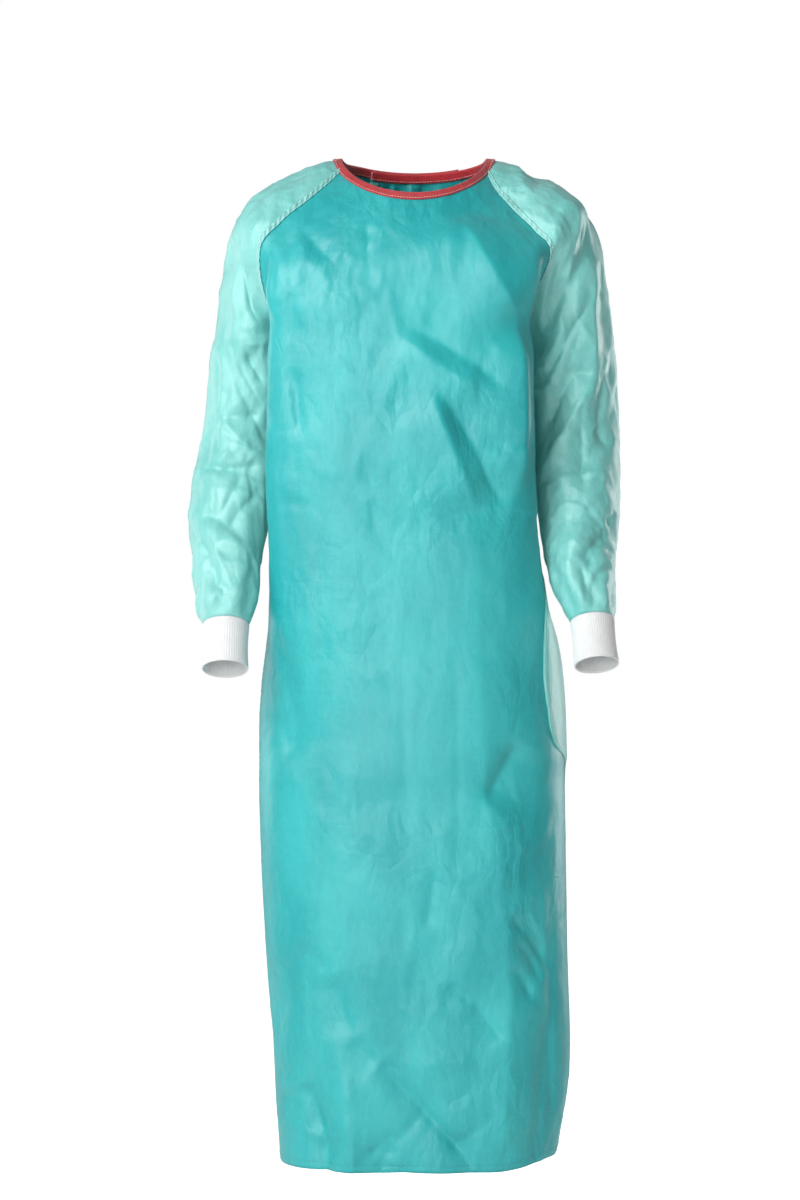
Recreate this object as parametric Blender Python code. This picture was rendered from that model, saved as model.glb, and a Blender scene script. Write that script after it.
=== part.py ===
"""A surgical gown in the hollow form that it takes when it is worn.

The front panel runs from the neck to the hem. Raglan sleeves end in knitted cuffs. The two back panels
lap over each other, and the outer one comes round the wearer's left side. A folded binding finishes
the neck. The front faces -Y, +X is the wearer's left, and z is 0 at the sides of the neck.
"""

import math
from collections import namedtuple

import bpy
import numpy as np

# Thickness of the cloth and the room left between pieces, in metres
CLOTH = 0.0015
SEAM_GAP = 0.0005
KNIT = 0.0020

# Size of the grids that the panels are drawn on
CAP_ROWS = 10
BODY_ROWS = 26
FRONT_COLUMNS = 24
OUTER_COLUMNS = 28
UNDER_COLUMNS = 18
ARM_ROWS = 20
SLEEVE_COLUMNS = 18
CUFF_ROWS = 3
BINDING_ORDER = ("back_panel_under", "sleeve_left", "front_panel", "sleeve_right", "back_panel_outer")
BINDING_GAP = 0.0008
FINE = 360
ROW_CROWDING = 0.4

# Neck opening, measured at the fold of the binding
NECK_HALF_WIDTH = 0.0935
NECK_FRONT = 0.085
NECK_BACK = 0.075
NECK_DROP_FRONT = 0.054
NECK_DROP_BACK = 0.010
FRONT_SEAM_AT = math.radians(74)
BACK_SEAM_AT = math.radians(108)

# Binding: a strip folded over the edge of the neck
BINDING_DEPTH = 0.0105
BINDING_CLOTH = 0.0010
BINDING_FOLD = 0.0014

# Lap of the back panels
LAYER_STEP = 0.0050
LAYER_STEP_AT_NECK = 0.0056
FLAP_STEP = 0.0020
FLAP_RISE = 0.06

ARMPIT = 0.235
PINCH_AT = 0.005
PINCH_WIDTH = 0.068
SEAM_ANGLE = math.radians(93)

# The body and the sleeve are drawn together into a point where they meet in the armpit
ARMPIT_PULL = 0.016
PULL_SPREAD = 0.055
PULL_BELOW = 0.045
HEM_RISE_RIGHT = 0.012

CUFF_LENGTH = 0.060
CUFF_WAIST = 0.05
SEAM_HOLD = 0.030
CAP_SHARE = 0.45
SEAM_RELEASE = 0.100

WHITE = (0.86, 0.87, 0.87)
TEAL = (0.10, 0.55, 0.56)
MINT = (0.42, 0.83, 0.77)
RED = (0.62, 0.05, 0.06)

Section = namedtuple("Section", "down right_side left_side pinch_right pinch_left front back square")
BODY = (
    Section(0.235, 0.206, 0.161, 0.3447, 0.2398, 0.136, 0.118, 3.1),
    Section(0.310, 0.206, 0.160, 0.340, 0.230, 0.139, 0.112, 3.2),
    Section(0.375, 0.206, 0.163, 0.310, 0.200, 0.139, 0.107, 3.2),
    Section(0.440, 0.206, 0.167, 0.280, 0.180, 0.138, 0.106, 3.1),
    Section(0.500, 0.202, 0.171, 0.215, 0.140, 0.137, 0.109, 3.0),
    Section(0.563, 0.199, 0.178, 0.120, 0.080, 0.137, 0.116, 2.9),
    Section(0.620, 0.195, 0.184, 0.040, 0.020, 0.138, 0.123, 2.7),
    Section(0.680, 0.195, 0.188, 0.000, 0.000, 0.139, 0.128, 2.6),
    Section(0.755, 0.197, 0.191, 0.000, 0.000, 0.140, 0.131, 2.6),
    Section(0.883, 0.195, 0.193, 0.000, 0.000, 0.140, 0.130, 2.7),
    Section(1.011, 0.188, 0.195, 0.000, 0.000, 0.138, 0.126, 2.9),
    Section(1.139, 0.178, 0.198, 0.000, 0.000, 0.136, 0.122, 3.1),
    Section(1.203, 0.175, 0.194, 0.000, 0.000, 0.135, 0.120, 3.2),
    Section(1.272, 0.170, 0.181, 0.000, 0.000, 0.134, 0.118, 3.3),
)

# Down the middle of the front and of the back, from the neck to the level of the armpits
Middle = namedtuple("Middle", "along front_y front_down back_y back_down")
MIDDLES = (
    Middle(0.00, -0.085, 0.054, 0.075, 0.010),
    Middle(0.20, -0.102, 0.083, 0.091, 0.048),
    Middle(0.40, -0.116, 0.114, 0.105, 0.091),
    Middle(0.60, -0.126, 0.148, 0.115, 0.135),
    Middle(0.80, -0.132, 0.189, 0.119, 0.184),
    Middle(1.00, -0.136, 0.235, 0.118, 0.235),
)

# Raglan seams from the neck to the armpit, and the ridge of the shoulder between them
Cap = namedtuple("Cap", "along front_x front_y front_down ridge_x ridge_down back_x back_y back_down")
CAP_RIGHT = (
    Cap(0.00, 0.0899, -0.0234, 0.0149, 0.0935, 0.000, 0.0889, 0.0232, 0.0022),
    Cap(0.20, 0.1130, -0.0470, 0.0400, 0.1220, 0.006, 0.1080, 0.0520, 0.0320),
    Cap(0.40, 0.1390, -0.0650, 0.0640, 0.1580, 0.021, 0.1310, 0.0730, 0.0620),
    Cap(0.60, 0.1680, -0.0790, 0.0900, 0.1930, 0.040, 0.1560, 0.0870, 0.0980),
    Cap(0.75, 0.1930, -0.0850, 0.1250, 0.2160, 0.062, 0.1750, 0.0850, 0.1360),
    Cap(0.88, 0.1850, -0.0580, 0.1850, 0.2340, 0.098, 0.1720, 0.0570, 0.1860),
    Cap(1.00, 0.1510, 0.0050, 0.2350, 0.2440, 0.145, 0.1510, 0.0050, 0.2350),
)
CAP_LEFT = (
    Cap(0.00, 0.0899, -0.0234, 0.0149, 0.0935, 0.000, 0.0889, 0.0232, 0.0022),
    Cap(0.20, 0.1040, -0.0450, 0.0450, 0.1230, 0.006, 0.1050, 0.0520, 0.0330),
    Cap(0.40, 0.1260, -0.0630, 0.0730, 0.1590, 0.021, 0.1250, 0.0730, 0.0640),
    Cap(0.60, 0.1510, -0.0780, 0.1000, 0.1940, 0.039, 0.1480, 0.0860, 0.1010),
    Cap(0.75, 0.1700, -0.0830, 0.1290, 0.2180, 0.061, 0.1620, 0.0840, 0.1370),
    Cap(0.88, 0.1490, -0.0480, 0.1850, 0.2350, 0.097, 0.1570, 0.0560, 0.1860),
    Cap(1.00, 0.1384, 0.0050, 0.2350, 0.2460, 0.145, 0.1384, 0.0050, 0.2350),
)

# The sleeve from the armpit to the cuff: its inner and outer sides, its half depth, and how far
# its rings lean forward
Arm = namedtuple("Arm", "along inner_x inner_y inner_down outer_x outer_y outer_down depth lean")
ARM_RIGHT = (
    Arm(0.00, 0.1670, 0.005, 0.235, 0.2440, 0.000, 0.145, 0.0620, 0),
    Arm(0.12, 0.1665, 0.008, 0.272, 0.2540, 0.004, 0.200, 0.0600, 0),
    Arm(0.26, 0.1655, 0.012, 0.318, 0.2610, 0.010, 0.262, 0.0580, 2),
    Arm(0.42, 0.1670, 0.010, 0.372, 0.2680, 0.010, 0.340, 0.0570, 8),
    Arm(0.56, 0.1730, -0.006, 0.420, 0.2800, -0.006, 0.402, 0.0560, 18),
    Arm(0.70, 0.1850, -0.031, 0.470, 0.2860, -0.031, 0.462, 0.0530, 25),
    Arm(0.82, 0.1940, -0.058, 0.518, 0.2800, -0.058, 0.514, 0.0470, 27),
    Arm(0.91, 0.1950, -0.078, 0.553, 0.2745, -0.078, 0.551, 0.0420, 26),
    Arm(0.97, 0.2010, -0.093, 0.579, 0.2690, -0.093, 0.578, 0.0360, 25),
    Arm(1.00, 0.2070, -0.1005, 0.594, 0.2630, -0.1005, 0.594, 0.0270, 25),
)
ARM_LEFT = (
    Arm(0.00, 0.1544, 0.005, 0.235, 0.2460, 0.000, 0.145, 0.0620, 0),
    Arm(0.12, 0.1575, 0.008, 0.272, 0.2520, 0.004, 0.200, 0.0590, 0),
    Arm(0.26, 0.1580, 0.012, 0.318, 0.2590, 0.010, 0.272, 0.0570, 2),
    Arm(0.42, 0.1590, 0.010, 0.372, 0.2620, 0.010, 0.346, 0.0560, 8),
    Arm(0.56, 0.1640, -0.006, 0.420, 0.2615, -0.006, 0.404, 0.0550, 18),
    Arm(0.70, 0.1690, -0.031, 0.470, 0.2590, -0.031, 0.462, 0.0520, 25),
    Arm(0.82, 0.1740, -0.058, 0.518, 0.2520, -0.058, 0.514, 0.0460, 27),
    Arm(0.91, 0.1800, -0.078, 0.551, 0.2490, -0.078, 0.549, 0.0410, 26),
    Arm(0.97, 0.1880, -0.093, 0.576, 0.2490, -0.093, 0.574, 0.0350, 25),
    Arm(1.00, 0.1950, -0.1005, 0.591, 0.2485, -0.1005, 0.587, 0.0260, 25),
)

# How far the back panels reach: 0 is the left side seam and 1 the right one, by length round the back
Lap = namedtuple("Lap", "down outer under")
NECK_LAP = Lap(0.0, 0.23, 0.76)
BODY_LAP = (
    Lap(0.235, 0.130, 0.780),
    Lap(0.340, 0.050, 0.780),
    Lap(0.430, -0.020, 0.780),
    Lap(0.500, -0.100, 0.780),
    Lap(0.550, -0.160, 0.780),
    Lap(0.610, -0.178, 0.780),
    Lap(0.690, -0.166, 0.780),
    Lap(0.735, -0.125, 0.780),
    Lap(0.775, -0.065, 0.780),
    Lap(0.820, -0.010, 0.780),
    Lap(0.880, 0.035, 0.780),
    Lap(1.080, 0.075, 0.780),
    Lap(1.272, 0.090, 0.780),
)

# Large folds of the body, as soft ridges (above 0) and troughs (below 0) between two points
Fold = namedtuple("Fold", "x1 down1 x2 down2 width height")
FRONT_FOLDS = (
    Fold(0.035, 0.330, 0.165, 0.520, 0.026, -0.0090),
    Fold(0.060, 0.300, 0.150, 0.420, 0.030, 0.0050),
    Fold(0.120, 0.500, 0.110, 0.640, 0.030, -0.0050),
    Fold(-0.146, 0.180, -0.135, 0.420, 0.018, -0.0040),
    Fold(-0.165, 0.560, -0.150, 0.760, 0.024, -0.0050),
    Fold(0.115, 0.740, 0.085, 0.860, 0.022, -0.0080),
    Fold(0.120, 0.860, 0.130, 1.150, 0.035, -0.0060),
    Fold(0.060, 0.760, 0.060, 0.980, 0.035, 0.0050),
    Fold(-0.100, 0.950, 0.010, 1.140, 0.020, -0.0060),
    Fold(-0.130, 1.100, -0.105, 1.290, 0.018, -0.0100),
    Fold(-0.085, 1.120, -0.080, 1.300, 0.026, 0.0130),
    Fold(-0.010, 1.150, 0.100, 1.290, 0.018, -0.0060),
    Fold(0.040, 1.160, 0.030, 1.300, 0.032, 0.0060),
    Fold(0.165, 1.060, 0.150, 1.290, 0.016, -0.0080),
)
BACK_FOLDS = (
    Fold(-0.110, 0.200, -0.125, 0.560, 0.024, 0.0060),
    Fold(-0.065, 0.180, -0.080, 0.640, 0.022, -0.0070),
    Fold(-0.020, 0.240, -0.025, 0.700, 0.028, 0.0050),
    Fold(0.030, 0.200, 0.060, 0.620, 0.024, -0.0070),
    Fold(0.085, 0.260, 0.125, 0.560, 0.022, 0.0060),
    Fold(-0.130, 0.820, -0.120, 1.290, 0.026, -0.0090),
    Fold(-0.075, 0.760, -0.070, 1.300, 0.030, 0.0100),
    Fold(-0.015, 0.860, -0.020, 1.300, 0.028, -0.0100),
    Fold(0.045, 0.780, 0.045, 1.300, 0.030, 0.0090),
    Fold(0.105, 0.900, 0.105, 1.290, 0.024, -0.0090),
)

# Large folds of a sleeve: where they start and end along the arm and round it, in turns from the
# armpit line by way of the front
SleeveFold = namedtuple("SleeveFold", "along1 turn1 along2 turn2 width height")
SLEEVE_FOLDS_RIGHT = (
    SleeveFold(-0.35, 0.30, 0.10, 0.20, 0.016, -0.0060),
    SleeveFold(-0.25, 0.42, 0.45, 0.36, 0.016, -0.0055),
    SleeveFold(-0.10, 0.36, 0.42, 0.28, 0.016, 0.0055),
    SleeveFold(0.22, 0.34, 0.48, 0.10, 0.014, -0.0070),
    SleeveFold(0.46, 0.34, 0.52, 0.08, 0.015, 0.0070),
    SleeveFold(0.56, 0.42, 0.58, 0.06, 0.014, -0.0080),
    SleeveFold(0.64, 0.30, 0.66, 0.06, 0.015, 0.0070),
    SleeveFold(0.70, 0.40, 0.80, 0.14, 0.014, -0.0075),
    SleeveFold(0.86, 0.34, 0.88, 0.10, 0.014, 0.0055),
    SleeveFold(0.20, 0.62, 0.50, 0.84, 0.016, -0.0070),
    SleeveFold(0.48, 0.60, 0.54, 0.92, 0.016, 0.0070),
    SleeveFold(0.64, 0.58, 0.66, 0.90, 0.014, -0.0070),
    SleeveFold(0.80, 0.56, 0.78, 0.86, 0.014, 0.0060),
)
SLEEVE_FOLDS_LEFT = (
    SleeveFold(-0.25, 0.28, 0.20, 0.16, 0.015, 0.0060),
    SleeveFold(-0.30, 0.40, 0.40, 0.42, 0.016, -0.0060),
    SleeveFold(0.00, 0.34, 0.44, 0.10, 0.015, -0.0080),
    SleeveFold(0.20, 0.38, 0.56, 0.14, 0.015, 0.0075),
    SleeveFold(0.34, 0.44, 0.64, 0.20, 0.014, -0.0075),
    SleeveFold(0.58, 0.42, 0.60, 0.08, 0.014, 0.0070),
    SleeveFold(0.68, 0.44, 0.90, 0.26, 0.014, -0.0080),
    SleeveFold(0.72, 0.28, 0.94, 0.14, 0.014, 0.0060),
    SleeveFold(0.84, 0.48, 0.92, 0.34, 0.014, 0.0060),
    SleeveFold(0.16, 0.60, 0.46, 0.86, 0.016, 0.0070),
    SleeveFold(0.44, 0.58, 0.52, 0.90, 0.015, -0.0075),
    SleeveFold(0.60, 0.62, 0.64, 0.92, 0.015, 0.0065),
    SleeveFold(0.76, 0.58, 0.78, 0.88, 0.014, -0.0065),
)
GATHERS = 6
GATHER_HEIGHT = 0.0030
GATHER_FROM = 0.80


def smooth(share):
    """0 up to 0, 1 from 1 on, and an easy curve between."""
    share = np.clip(share, 0.0, 1.0)
    return share * share * (3 - 2 * share)


def peak(distance):
    """1 at 0 and nothing from 1 on, with a corner at the top."""
    return np.clip(1 - distance, 0, None) ** 1.6


def row_at(table, station):
    """The row of a table at any station, on smooth curves through the rows that it has."""
    values = np.array(table, float)
    stations = values[:, 0]
    slopes = np.gradient(values, stations, axis=0)
    station = min(max(station, stations[0]), stations[-1])
    i = min(int(np.searchsorted(stations, station, side="right")) - 1, len(table) - 2)
    span = stations[i + 1] - stations[i]
    t = (station - stations[i]) / span
    start = (1 + 2 * t) * (1 - t) ** 2 * values[i] + t * (1 - t) ** 2 * span * slopes[i]
    end = t * t * (3 - 2 * t) * values[i + 1] + t * t * (t - 1) * span * slopes[i + 1]
    return type(table[0])(*(start + end))


def lengths_along(line):
    """The distance from the start of a line to each of its points."""
    steps = np.linalg.norm(np.diff(line, axis=0), axis=1)
    return np.concatenate([[0.0], np.cumsum(steps)])


def points_at(line, distances):
    """Points at these distances along a line."""
    lengths = lengths_along(line)
    return np.stack([np.interp(distances, lengths, line[:, axis]) for axis in range(3)], axis=1)


def evenly(line, columns):
    """A line as columns + 1 points the same distance apart."""
    return points_at(line, np.linspace(0, lengths_along(line)[-1], columns + 1))


def cap_along(row):
    """How far along the raglan seam a row lies, with closer rows at the neck and at the armpit."""
    share = row / CAP_ROWS
    return share - ROW_CROWDING * math.sin(2 * math.pi * share) / (2 * math.pi)


def neck_line(angles):
    """Points on the neck opening. An angle is 0 at the front and turns to the wearer's left."""
    sine, cosine = np.sin(angles), np.cos(angles)
    front, back = np.clip(cosine, 0, None), np.clip(-cosine, 0, None)
    x = NECK_HALF_WIDTH * sine
    y = NECK_BACK * back - NECK_FRONT * front
    z = -NECK_DROP_FRONT * front**1.2 - NECK_DROP_BACK * back**1.3
    return np.stack([x, y, z], axis=1)


def body_line(down, angles):
    """Points round the body at one level, on a soft-cornered ring drawn in where the arms hang."""
    ring = row_at(BODY, down)
    sine, cosine = np.sin(angles), np.cos(angles)
    power = 2 / ring.square
    side = np.where(sine > 0, ring.left_side, -ring.right_side)
    pinch = np.where(sine > 0, ring.pinch_left, ring.pinch_right)
    depth = np.where(cosine > 0, -ring.front, ring.back)
    x = side * np.abs(sine) ** power
    y = depth * np.abs(cosine) ** power
    x = x * (1 - pinch * np.exp(-(np.abs((y - PINCH_AT) / PINCH_WIDTH) ** 3)))
    pull = ARMPIT_PULL * (1 - smooth((down - ARMPIT) / PULL_BELOW))
    x = x + np.sign(x) * pull * peak(np.abs(y - PINCH_AT) / PULL_SPREAD)
    z = np.full(len(angles), -down)
    return np.stack([x, y, z], axis=1)


def three_point(shares, first, middle, last):
    """A parabola through three points, at 0, one half and 1."""
    shares = shares[:, None]
    return (
        2 * (shares - 0.5) * (shares - 1) * first
        + 4 * shares * (1 - shares) * middle
        + 2 * shares * (shares - 0.5) * last
    )


def yoke_line(along, top, bottom, first, middle, last):
    """A line across the chest or the back, between the neck (along 0) and the armpits (along 1). It
    has its three given points, and its shape passes from that of the top line to the bottom one's."""
    shares = np.linspace(0, 1, len(top))
    top_extra = top - three_point(shares, top[0], top[len(top) // 2], top[-1])
    bottom_extra = bottom - three_point(shares, bottom[0], bottom[len(bottom) // 2], bottom[-1])
    blend = along**2.5
    return three_point(shares, first, middle, last) + (1 - blend) * top_extra + blend * bottom_extra


def cap_points(along):
    """Front seam, ridge and back seam of both shoulders, as (right, left)."""
    found = []
    for table, sign in ((CAP_RIGHT, -1), (CAP_LEFT, 1)):
        row = row_at(table, along)
        found.append(
            (
                np.array([sign * row.front_x, row.front_y, -row.front_down]),
                np.array([sign * row.ridge_x, 0.0, -row.ridge_down]),
                np.array([sign * row.back_x, row.back_y, -row.back_down]),
            )
        )
    return found


def front_line(row):
    """One line across the front panel, from the right seam to the left one."""
    half = np.linspace(-1, 1, 2 * FINE + 1)
    if row >= CAP_ROWS:
        down = body_down(row - CAP_ROWS)
        return body_line(down, half * seam_angle(down))
    along = cap_along(row)
    right, left = cap_points(along)
    if row == 0:
        return neck_line(half * FRONT_SEAM_AT)
    top = evenly(neck_line(half * FRONT_SEAM_AT), 2 * FINE)
    bottom = evenly(body_line(ARMPIT, half * math.pi / 2), 2 * FINE)
    middle = row_at(MIDDLES, along)
    centre = np.array([along * bottom[FINE, 0], middle.front_y, -middle.front_down])
    return yoke_line(along, top, bottom, right[0], centre, left[0])


def seam_angle(down):
    """The side seams start in the armpits and pass behind the sides below them."""
    return math.pi / 2 + (SEAM_ANGLE - math.pi / 2) * smooth((down - ARMPIT) / 0.3)


def back_line(row):
    """One line across the whole back, from the left seam to the right one."""
    share = np.linspace(0, 1, 2 * FINE + 1)
    if row >= CAP_ROWS:
        down = body_down(row - CAP_ROWS)
        start = seam_angle(down)
        return body_line(down, start + share * (2 * math.pi - 2 * start))
    neck = neck_line(BACK_SEAM_AT + share * (2 * math.pi - 2 * BACK_SEAM_AT))
    if row == 0:
        return neck
    along = cap_along(row)
    right, left = cap_points(along)
    bottom = evenly(body_line(ARMPIT, math.pi / 2 + share * math.pi), 2 * FINE)
    middle = row_at(MIDDLES, along)
    centre = np.array([along * bottom[FINE, 0], middle.back_y, -middle.back_down])
    return yoke_line(along, evenly(neck, 2 * FINE), bottom, left[2], centre, right[2])


def body_down(row):
    """How far below the neck a row of the body lies."""
    return ARMPIT + (BODY[-1].down - ARMPIT) * row / BODY_ROWS


def lap_at(row):
    if row >= CAP_ROWS:
        return row_at(BODY_LAP, body_down(row - CAP_ROWS))
    share = smooth(cap_along(row))
    return Lap(*((1 - share) * np.array(NECK_LAP) + share * np.array(BODY_LAP[0])))


def part_of_back(row, start, end, columns):
    """The stretch of a back line between two shares of its length. A start below 0 runs on round the
    left side over the front panel."""
    line = back_line(row)
    length = lengths_along(line)[-1]
    if start < 0:
        down = body_down(row - CAP_ROWS)
        ahead = body_line(down, np.linspace(math.radians(20), seam_angle(down), FINE))
        reach = lengths_along(ahead)[-1]
        line = np.concatenate([ahead[:-1], line])
    else:
        reach = 0.0
    return points_at(line, reach + length * np.linspace(start, end, columns + 1))


def arm_point(at, sign, side):
    """The point of a sleeve's ring on its inner or its outer side."""
    if side == "inner":
        return np.array([sign * at.inner_x, at.inner_y, -at.inner_down])
    return np.array([sign * at.outer_x, at.outer_y, -at.outer_down])


def sleeve_line(cap, arm, sign, row):
    """One line round a sleeve, drawn as an arc. Over the shoulder it is open, from the front seam to the
    back one. Below the armpit it is a closed ring, which starts and ends on the armpit line."""
    if row == 0:
        return neck_line(np.linspace(FRONT_SEAM_AT, BACK_SEAM_AT, 2 * FINE + 1) * sign)
    outward = np.array([sign, 0.0, 0.0])
    top = arm[0]
    tall = np.linalg.norm(arm_point(top, sign, "outer") - arm_point(top, sign, "inner"))
    stretch = 2 * top.depth / tall
    if row <= CAP_ROWS:
        along = cap_along(row)
        at = row_at(cap, along)
        near_armpit = smooth((along - 0.75) / 0.25)
        pull = ARMPIT_PULL * near_armpit
        stretch = 1 + (stretch - 1) * near_armpit
        front = np.array([sign * at.front_x, at.front_y, -at.front_down])
        back = np.array([sign * at.back_x, at.back_y, -at.back_down])
        outer = np.array([sign * at.ridge_x, 0.0, -at.ridge_down])
        base = (front + back) / 2 + pull * outward
        half_chord = np.linalg.norm(front - back) / 2
        forward = (front - back) / (2 * half_chord) if half_chord > 1e-6 else np.array([0.0, -1.0, 0.0])
    else:
        at = row_at(arm, (row - CAP_ROWS) / ARM_ROWS)
        base, outer = arm_point(at, sign, "inner"), arm_point(at, sign, "outer")
        pull = ARMPIT_PULL * (1 - smooth((at.inner_down - top.inner_down) / PULL_BELOW))
        half_chord = 0.0
        lean = math.radians(at.lean)
        forward = np.array([0.0, -math.cos(lean), math.sin(lean)])
        stretch = 2 * at.depth / np.linalg.norm(outer - base)
    rise = np.linalg.norm(outer - base)
    up = (outer - base) / rise
    radius = ((half_chord / stretch) ** 2 + rise**2) / (2 * rise)
    start = math.asin(max(-1.0, min(1.0, (radius - rise) / radius)))
    turn = np.linspace(start, math.pi - start, 2 * FINE + 1)[:, None]
    line = outer - radius * up + radius * (stretch * np.cos(turn) * forward + np.sin(turn) * up)
    lengths = lengths_along(line)
    to_end = np.minimum(lengths, lengths[-1] - lengths)
    return line - (pull * peak(to_end / PULL_SPREAD))[:, None] * outward


def normals_of(grid, closed_from=None):
    """The direction that the cloth faces at each point of a grid, out of the gown. From the row
    closed_from on, the first and last columns are one line."""
    along = np.gradient(grid, axis=0)
    across = np.gradient(grid, axis=1)
    if closed_from is not None:
        ring = slice(closed_from, None)
        meet = grid[ring, 1] - grid[ring, -2]
        across[ring, 0] = across[ring, -1] = meet / 2
    normals = np.cross(along, across)
    normals /= np.maximum(np.linalg.norm(normals, axis=2, keepdims=True), 1e-12)
    return normals


def share_normals(pieces):
    """Points that pieces have in common get one direction, so that their edges stay parallel."""
    sums = {}
    for piece in pieces:
        for i, j in np.ndindex(piece.grid.shape[:2]):
            key = tuple(np.round(piece.grid[i, j], 6))
            sums[key] = sums.get(key, 0) + piece.normals[i, j]
    for piece in pieces:
        for i, j in np.ndindex(piece.grid.shape[:2]):
            total = sums[tuple(np.round(piece.grid[i, j], 6))]
            piece.normals[i, j] = total / np.linalg.norm(total)


def ridge_height(here, start, end, width, height):
    """The height of one fold at points of a flat drawing: full in the middle, and fading to its ends."""
    run = end - start
    share = np.clip((here - start) @ run / (run @ run), 0, 1)
    away = np.linalg.norm(here - (start + share[..., None] * run), axis=-1)
    taper = smooth(share / 0.3) * smooth((1 - share) / 0.3)
    return height * np.exp(-((away / width) ** 2)) * (0.15 + 0.85 * taper)


def body_folds(grid, normals):
    """How far the folds of the front and the back move each point of a body panel out."""
    here = np.stack([grid[..., 0], -grid[..., 2]], axis=-1)
    moved = np.zeros(grid.shape[:2])
    for folds, side in ((FRONT_FOLDS, -1), (BACK_FOLDS, 1)):
        facing = smooth(side * normals[..., 1] / 0.5)
        for fold in folds:
            start, end = np.array([fold.x1, fold.down1]), np.array([fold.x2, fold.down2])
            moved += facing * ridge_height(here, start, end, fold.width, fold.height)
    below_neck = smooth((here[..., 1] - 0.08) / 0.12)
    return moved * below_neck


def held_at_seams(piece):
    """0 on the seams with the sleeves and 1 away from them, so that folds leave those seams alone."""
    held = np.ones(piece.grid.shape[:2])
    for i, line in enumerate(piece.grid):
        lengths = lengths_along(line)
        if "first" in piece.sewn:
            held[i] *= smooth(lengths / SEAM_HOLD)
        if "last" in piece.sewn:
            held[i] *= smooth((lengths[-1] - lengths) / SEAM_HOLD)
    released = smooth((-piece.grid[..., 2] - ARMPIT) / SEAM_RELEASE)
    return held + (1 - held) * released


def arm_along(row):
    """Where a row of a sleeve lies: 0 at the armpit, 1 at the cuff and less than 0 on the shoulder."""
    if row <= CAP_ROWS:
        return (cap_along(row) - 1) * CAP_SHARE
    return (row - CAP_ROWS) / ARM_ROWS


def sleeve_folds(folds, grid):
    """How far its folds and the gathers above the cuff move each point of a sleeve out."""
    rows, columns = grid.shape[:2]
    along = np.array([arm_along(row) for row in range(rows)])
    turn = np.linspace(0, 1, columns)
    length, girth = 0.50, 0.36
    here = np.stack(np.meshgrid(along * length, turn * girth, indexing="ij"), axis=-1)
    moved = np.zeros((rows, columns))
    for fold in folds:
        start = np.array([fold.along1 * length, fold.turn1 * girth])
        end = np.array([fold.along2 * length, fold.turn2 * girth])
        moved += ridge_height(here, start, end, fold.width, fold.height)
    inside = smooth(turn / 0.08) * smooth((1 - turn) / 0.08)
    ends = smooth((along + CAP_SHARE) / 0.12) * smooth((1 - along) / 0.10)
    gathered = smooth((along - GATHER_FROM) / 0.14) * smooth((1.0 - along) / 0.03)
    waves = GATHER_HEIGHT * np.sin(2 * math.pi * GATHERS * turn + 0.6)
    return moved * inside * ends[:, None] + gathered[:, None] * waves * inside


def layer_step(grid, row_reach, row_length):
    """How far the outer back panel stands off the layer below: nothing at its own seam, a full step
    where the under panel lies beneath it, and a little more where it comes round to the front."""
    rows, columns = grid.shape[:2]
    step = np.zeros((rows, columns))
    for i in range(rows):
        to_seam = lengths_along(grid[i])
        to_seam = to_seam[-1] - to_seam
        near_neck = 1 - smooth(cap_along(min(i, CAP_ROWS)))
        full = LAYER_STEP + (LAYER_STEP_AT_NECK - LAYER_STEP) * near_neck
        past_left_seam = to_seam - row_length[i]
        step[i] = full * smooth(to_seam / (row_reach[i] * 0.8))
        step[i] += FLAP_STEP * smooth(past_left_seam / FLAP_RISE)
    return step


class Piece:
    """A panel: a grid of points in the middle of its cloth, and which of its edges are sewn."""

    def __init__(self, name, grid, sewn, colour, closed_from=None):
        self.name = name
        self.grid = grid
        self.sewn = sewn
        self.colour = colour
        self.closed_from = closed_from
        self.normals = normals_of(grid, closed_from)

    def move_out(self, distance):
        self.grid = self.grid + distance[..., None] * self.normals


def trimmed(piece):
    """The grid with its sewn edges drawn back by half the seam gap."""
    grid = piece.grid.copy()
    closed = piece.closed_from if piece.closed_from is not None else len(grid)
    back = SEAM_GAP / 2
    neighbours = {
        "top": ((0, slice(None)), (1, slice(None))),
        "bottom": ((-1, slice(None)), (-2, slice(None))),
        "first": ((slice(0, closed), 0), (slice(0, closed), 1)),
        "last": ((slice(0, closed), -1), (slice(0, closed), -2)),
    }
    for edge in piece.sewn:
        outer, inner = neighbours[edge]
        inward = piece.grid[inner] - piece.grid[outer]
        inward -= (inward * piece.normals[outer]).sum(axis=-1, keepdims=True) * piece.normals[outer]
        along = np.gradient(piece.grid[outer], axis=0)
        along /= np.maximum(np.linalg.norm(along, axis=-1, keepdims=True), 1e-12)
        inward -= (inward * along).sum(axis=-1, keepdims=True) * along
        inward /= np.linalg.norm(inward, axis=-1, keepdims=True)
        grid[outer] = grid[outer] + back * inward
    for column in (0, -1):
        if piece.closed_from is not None or ("first", "last")[column] in piece.sewn:
            drop = piece.grid[CAP_ROWS + 1, column] - piece.grid[CAP_ROWS, column]
            grid[CAP_ROWS, column] += back * drop / np.linalg.norm(drop)
    return grid


def material(name, colour, roughness):
    made = bpy.data.materials.get(name) or bpy.data.materials.new(name)
    made.use_nodes = True
    shader = made.node_tree.nodes["Principled BSDF"]
    shader.inputs["Base Color"].default_value = (*colour, 1.0)
    shader.inputs["Roughness"].default_value = roughness
    shader.inputs["Metallic"].default_value = 0.0
    return made


def add_object(name, points, faces, colour, roughness=0.55):
    mesh = bpy.data.meshes.new(name)
    mesh.from_pydata([tuple(p) for p in points], [], [tuple(f) for f in faces])
    mesh.validate()
    mesh.shade_smooth()
    mesh.set_sharp_from_angle(angle=math.radians(50))
    mesh.materials.append(material(name + "_cloth", colour, roughness))
    made = bpy.data.objects.new(name, mesh)
    bpy.context.scene.collection.objects.link(made)
    return made


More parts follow.
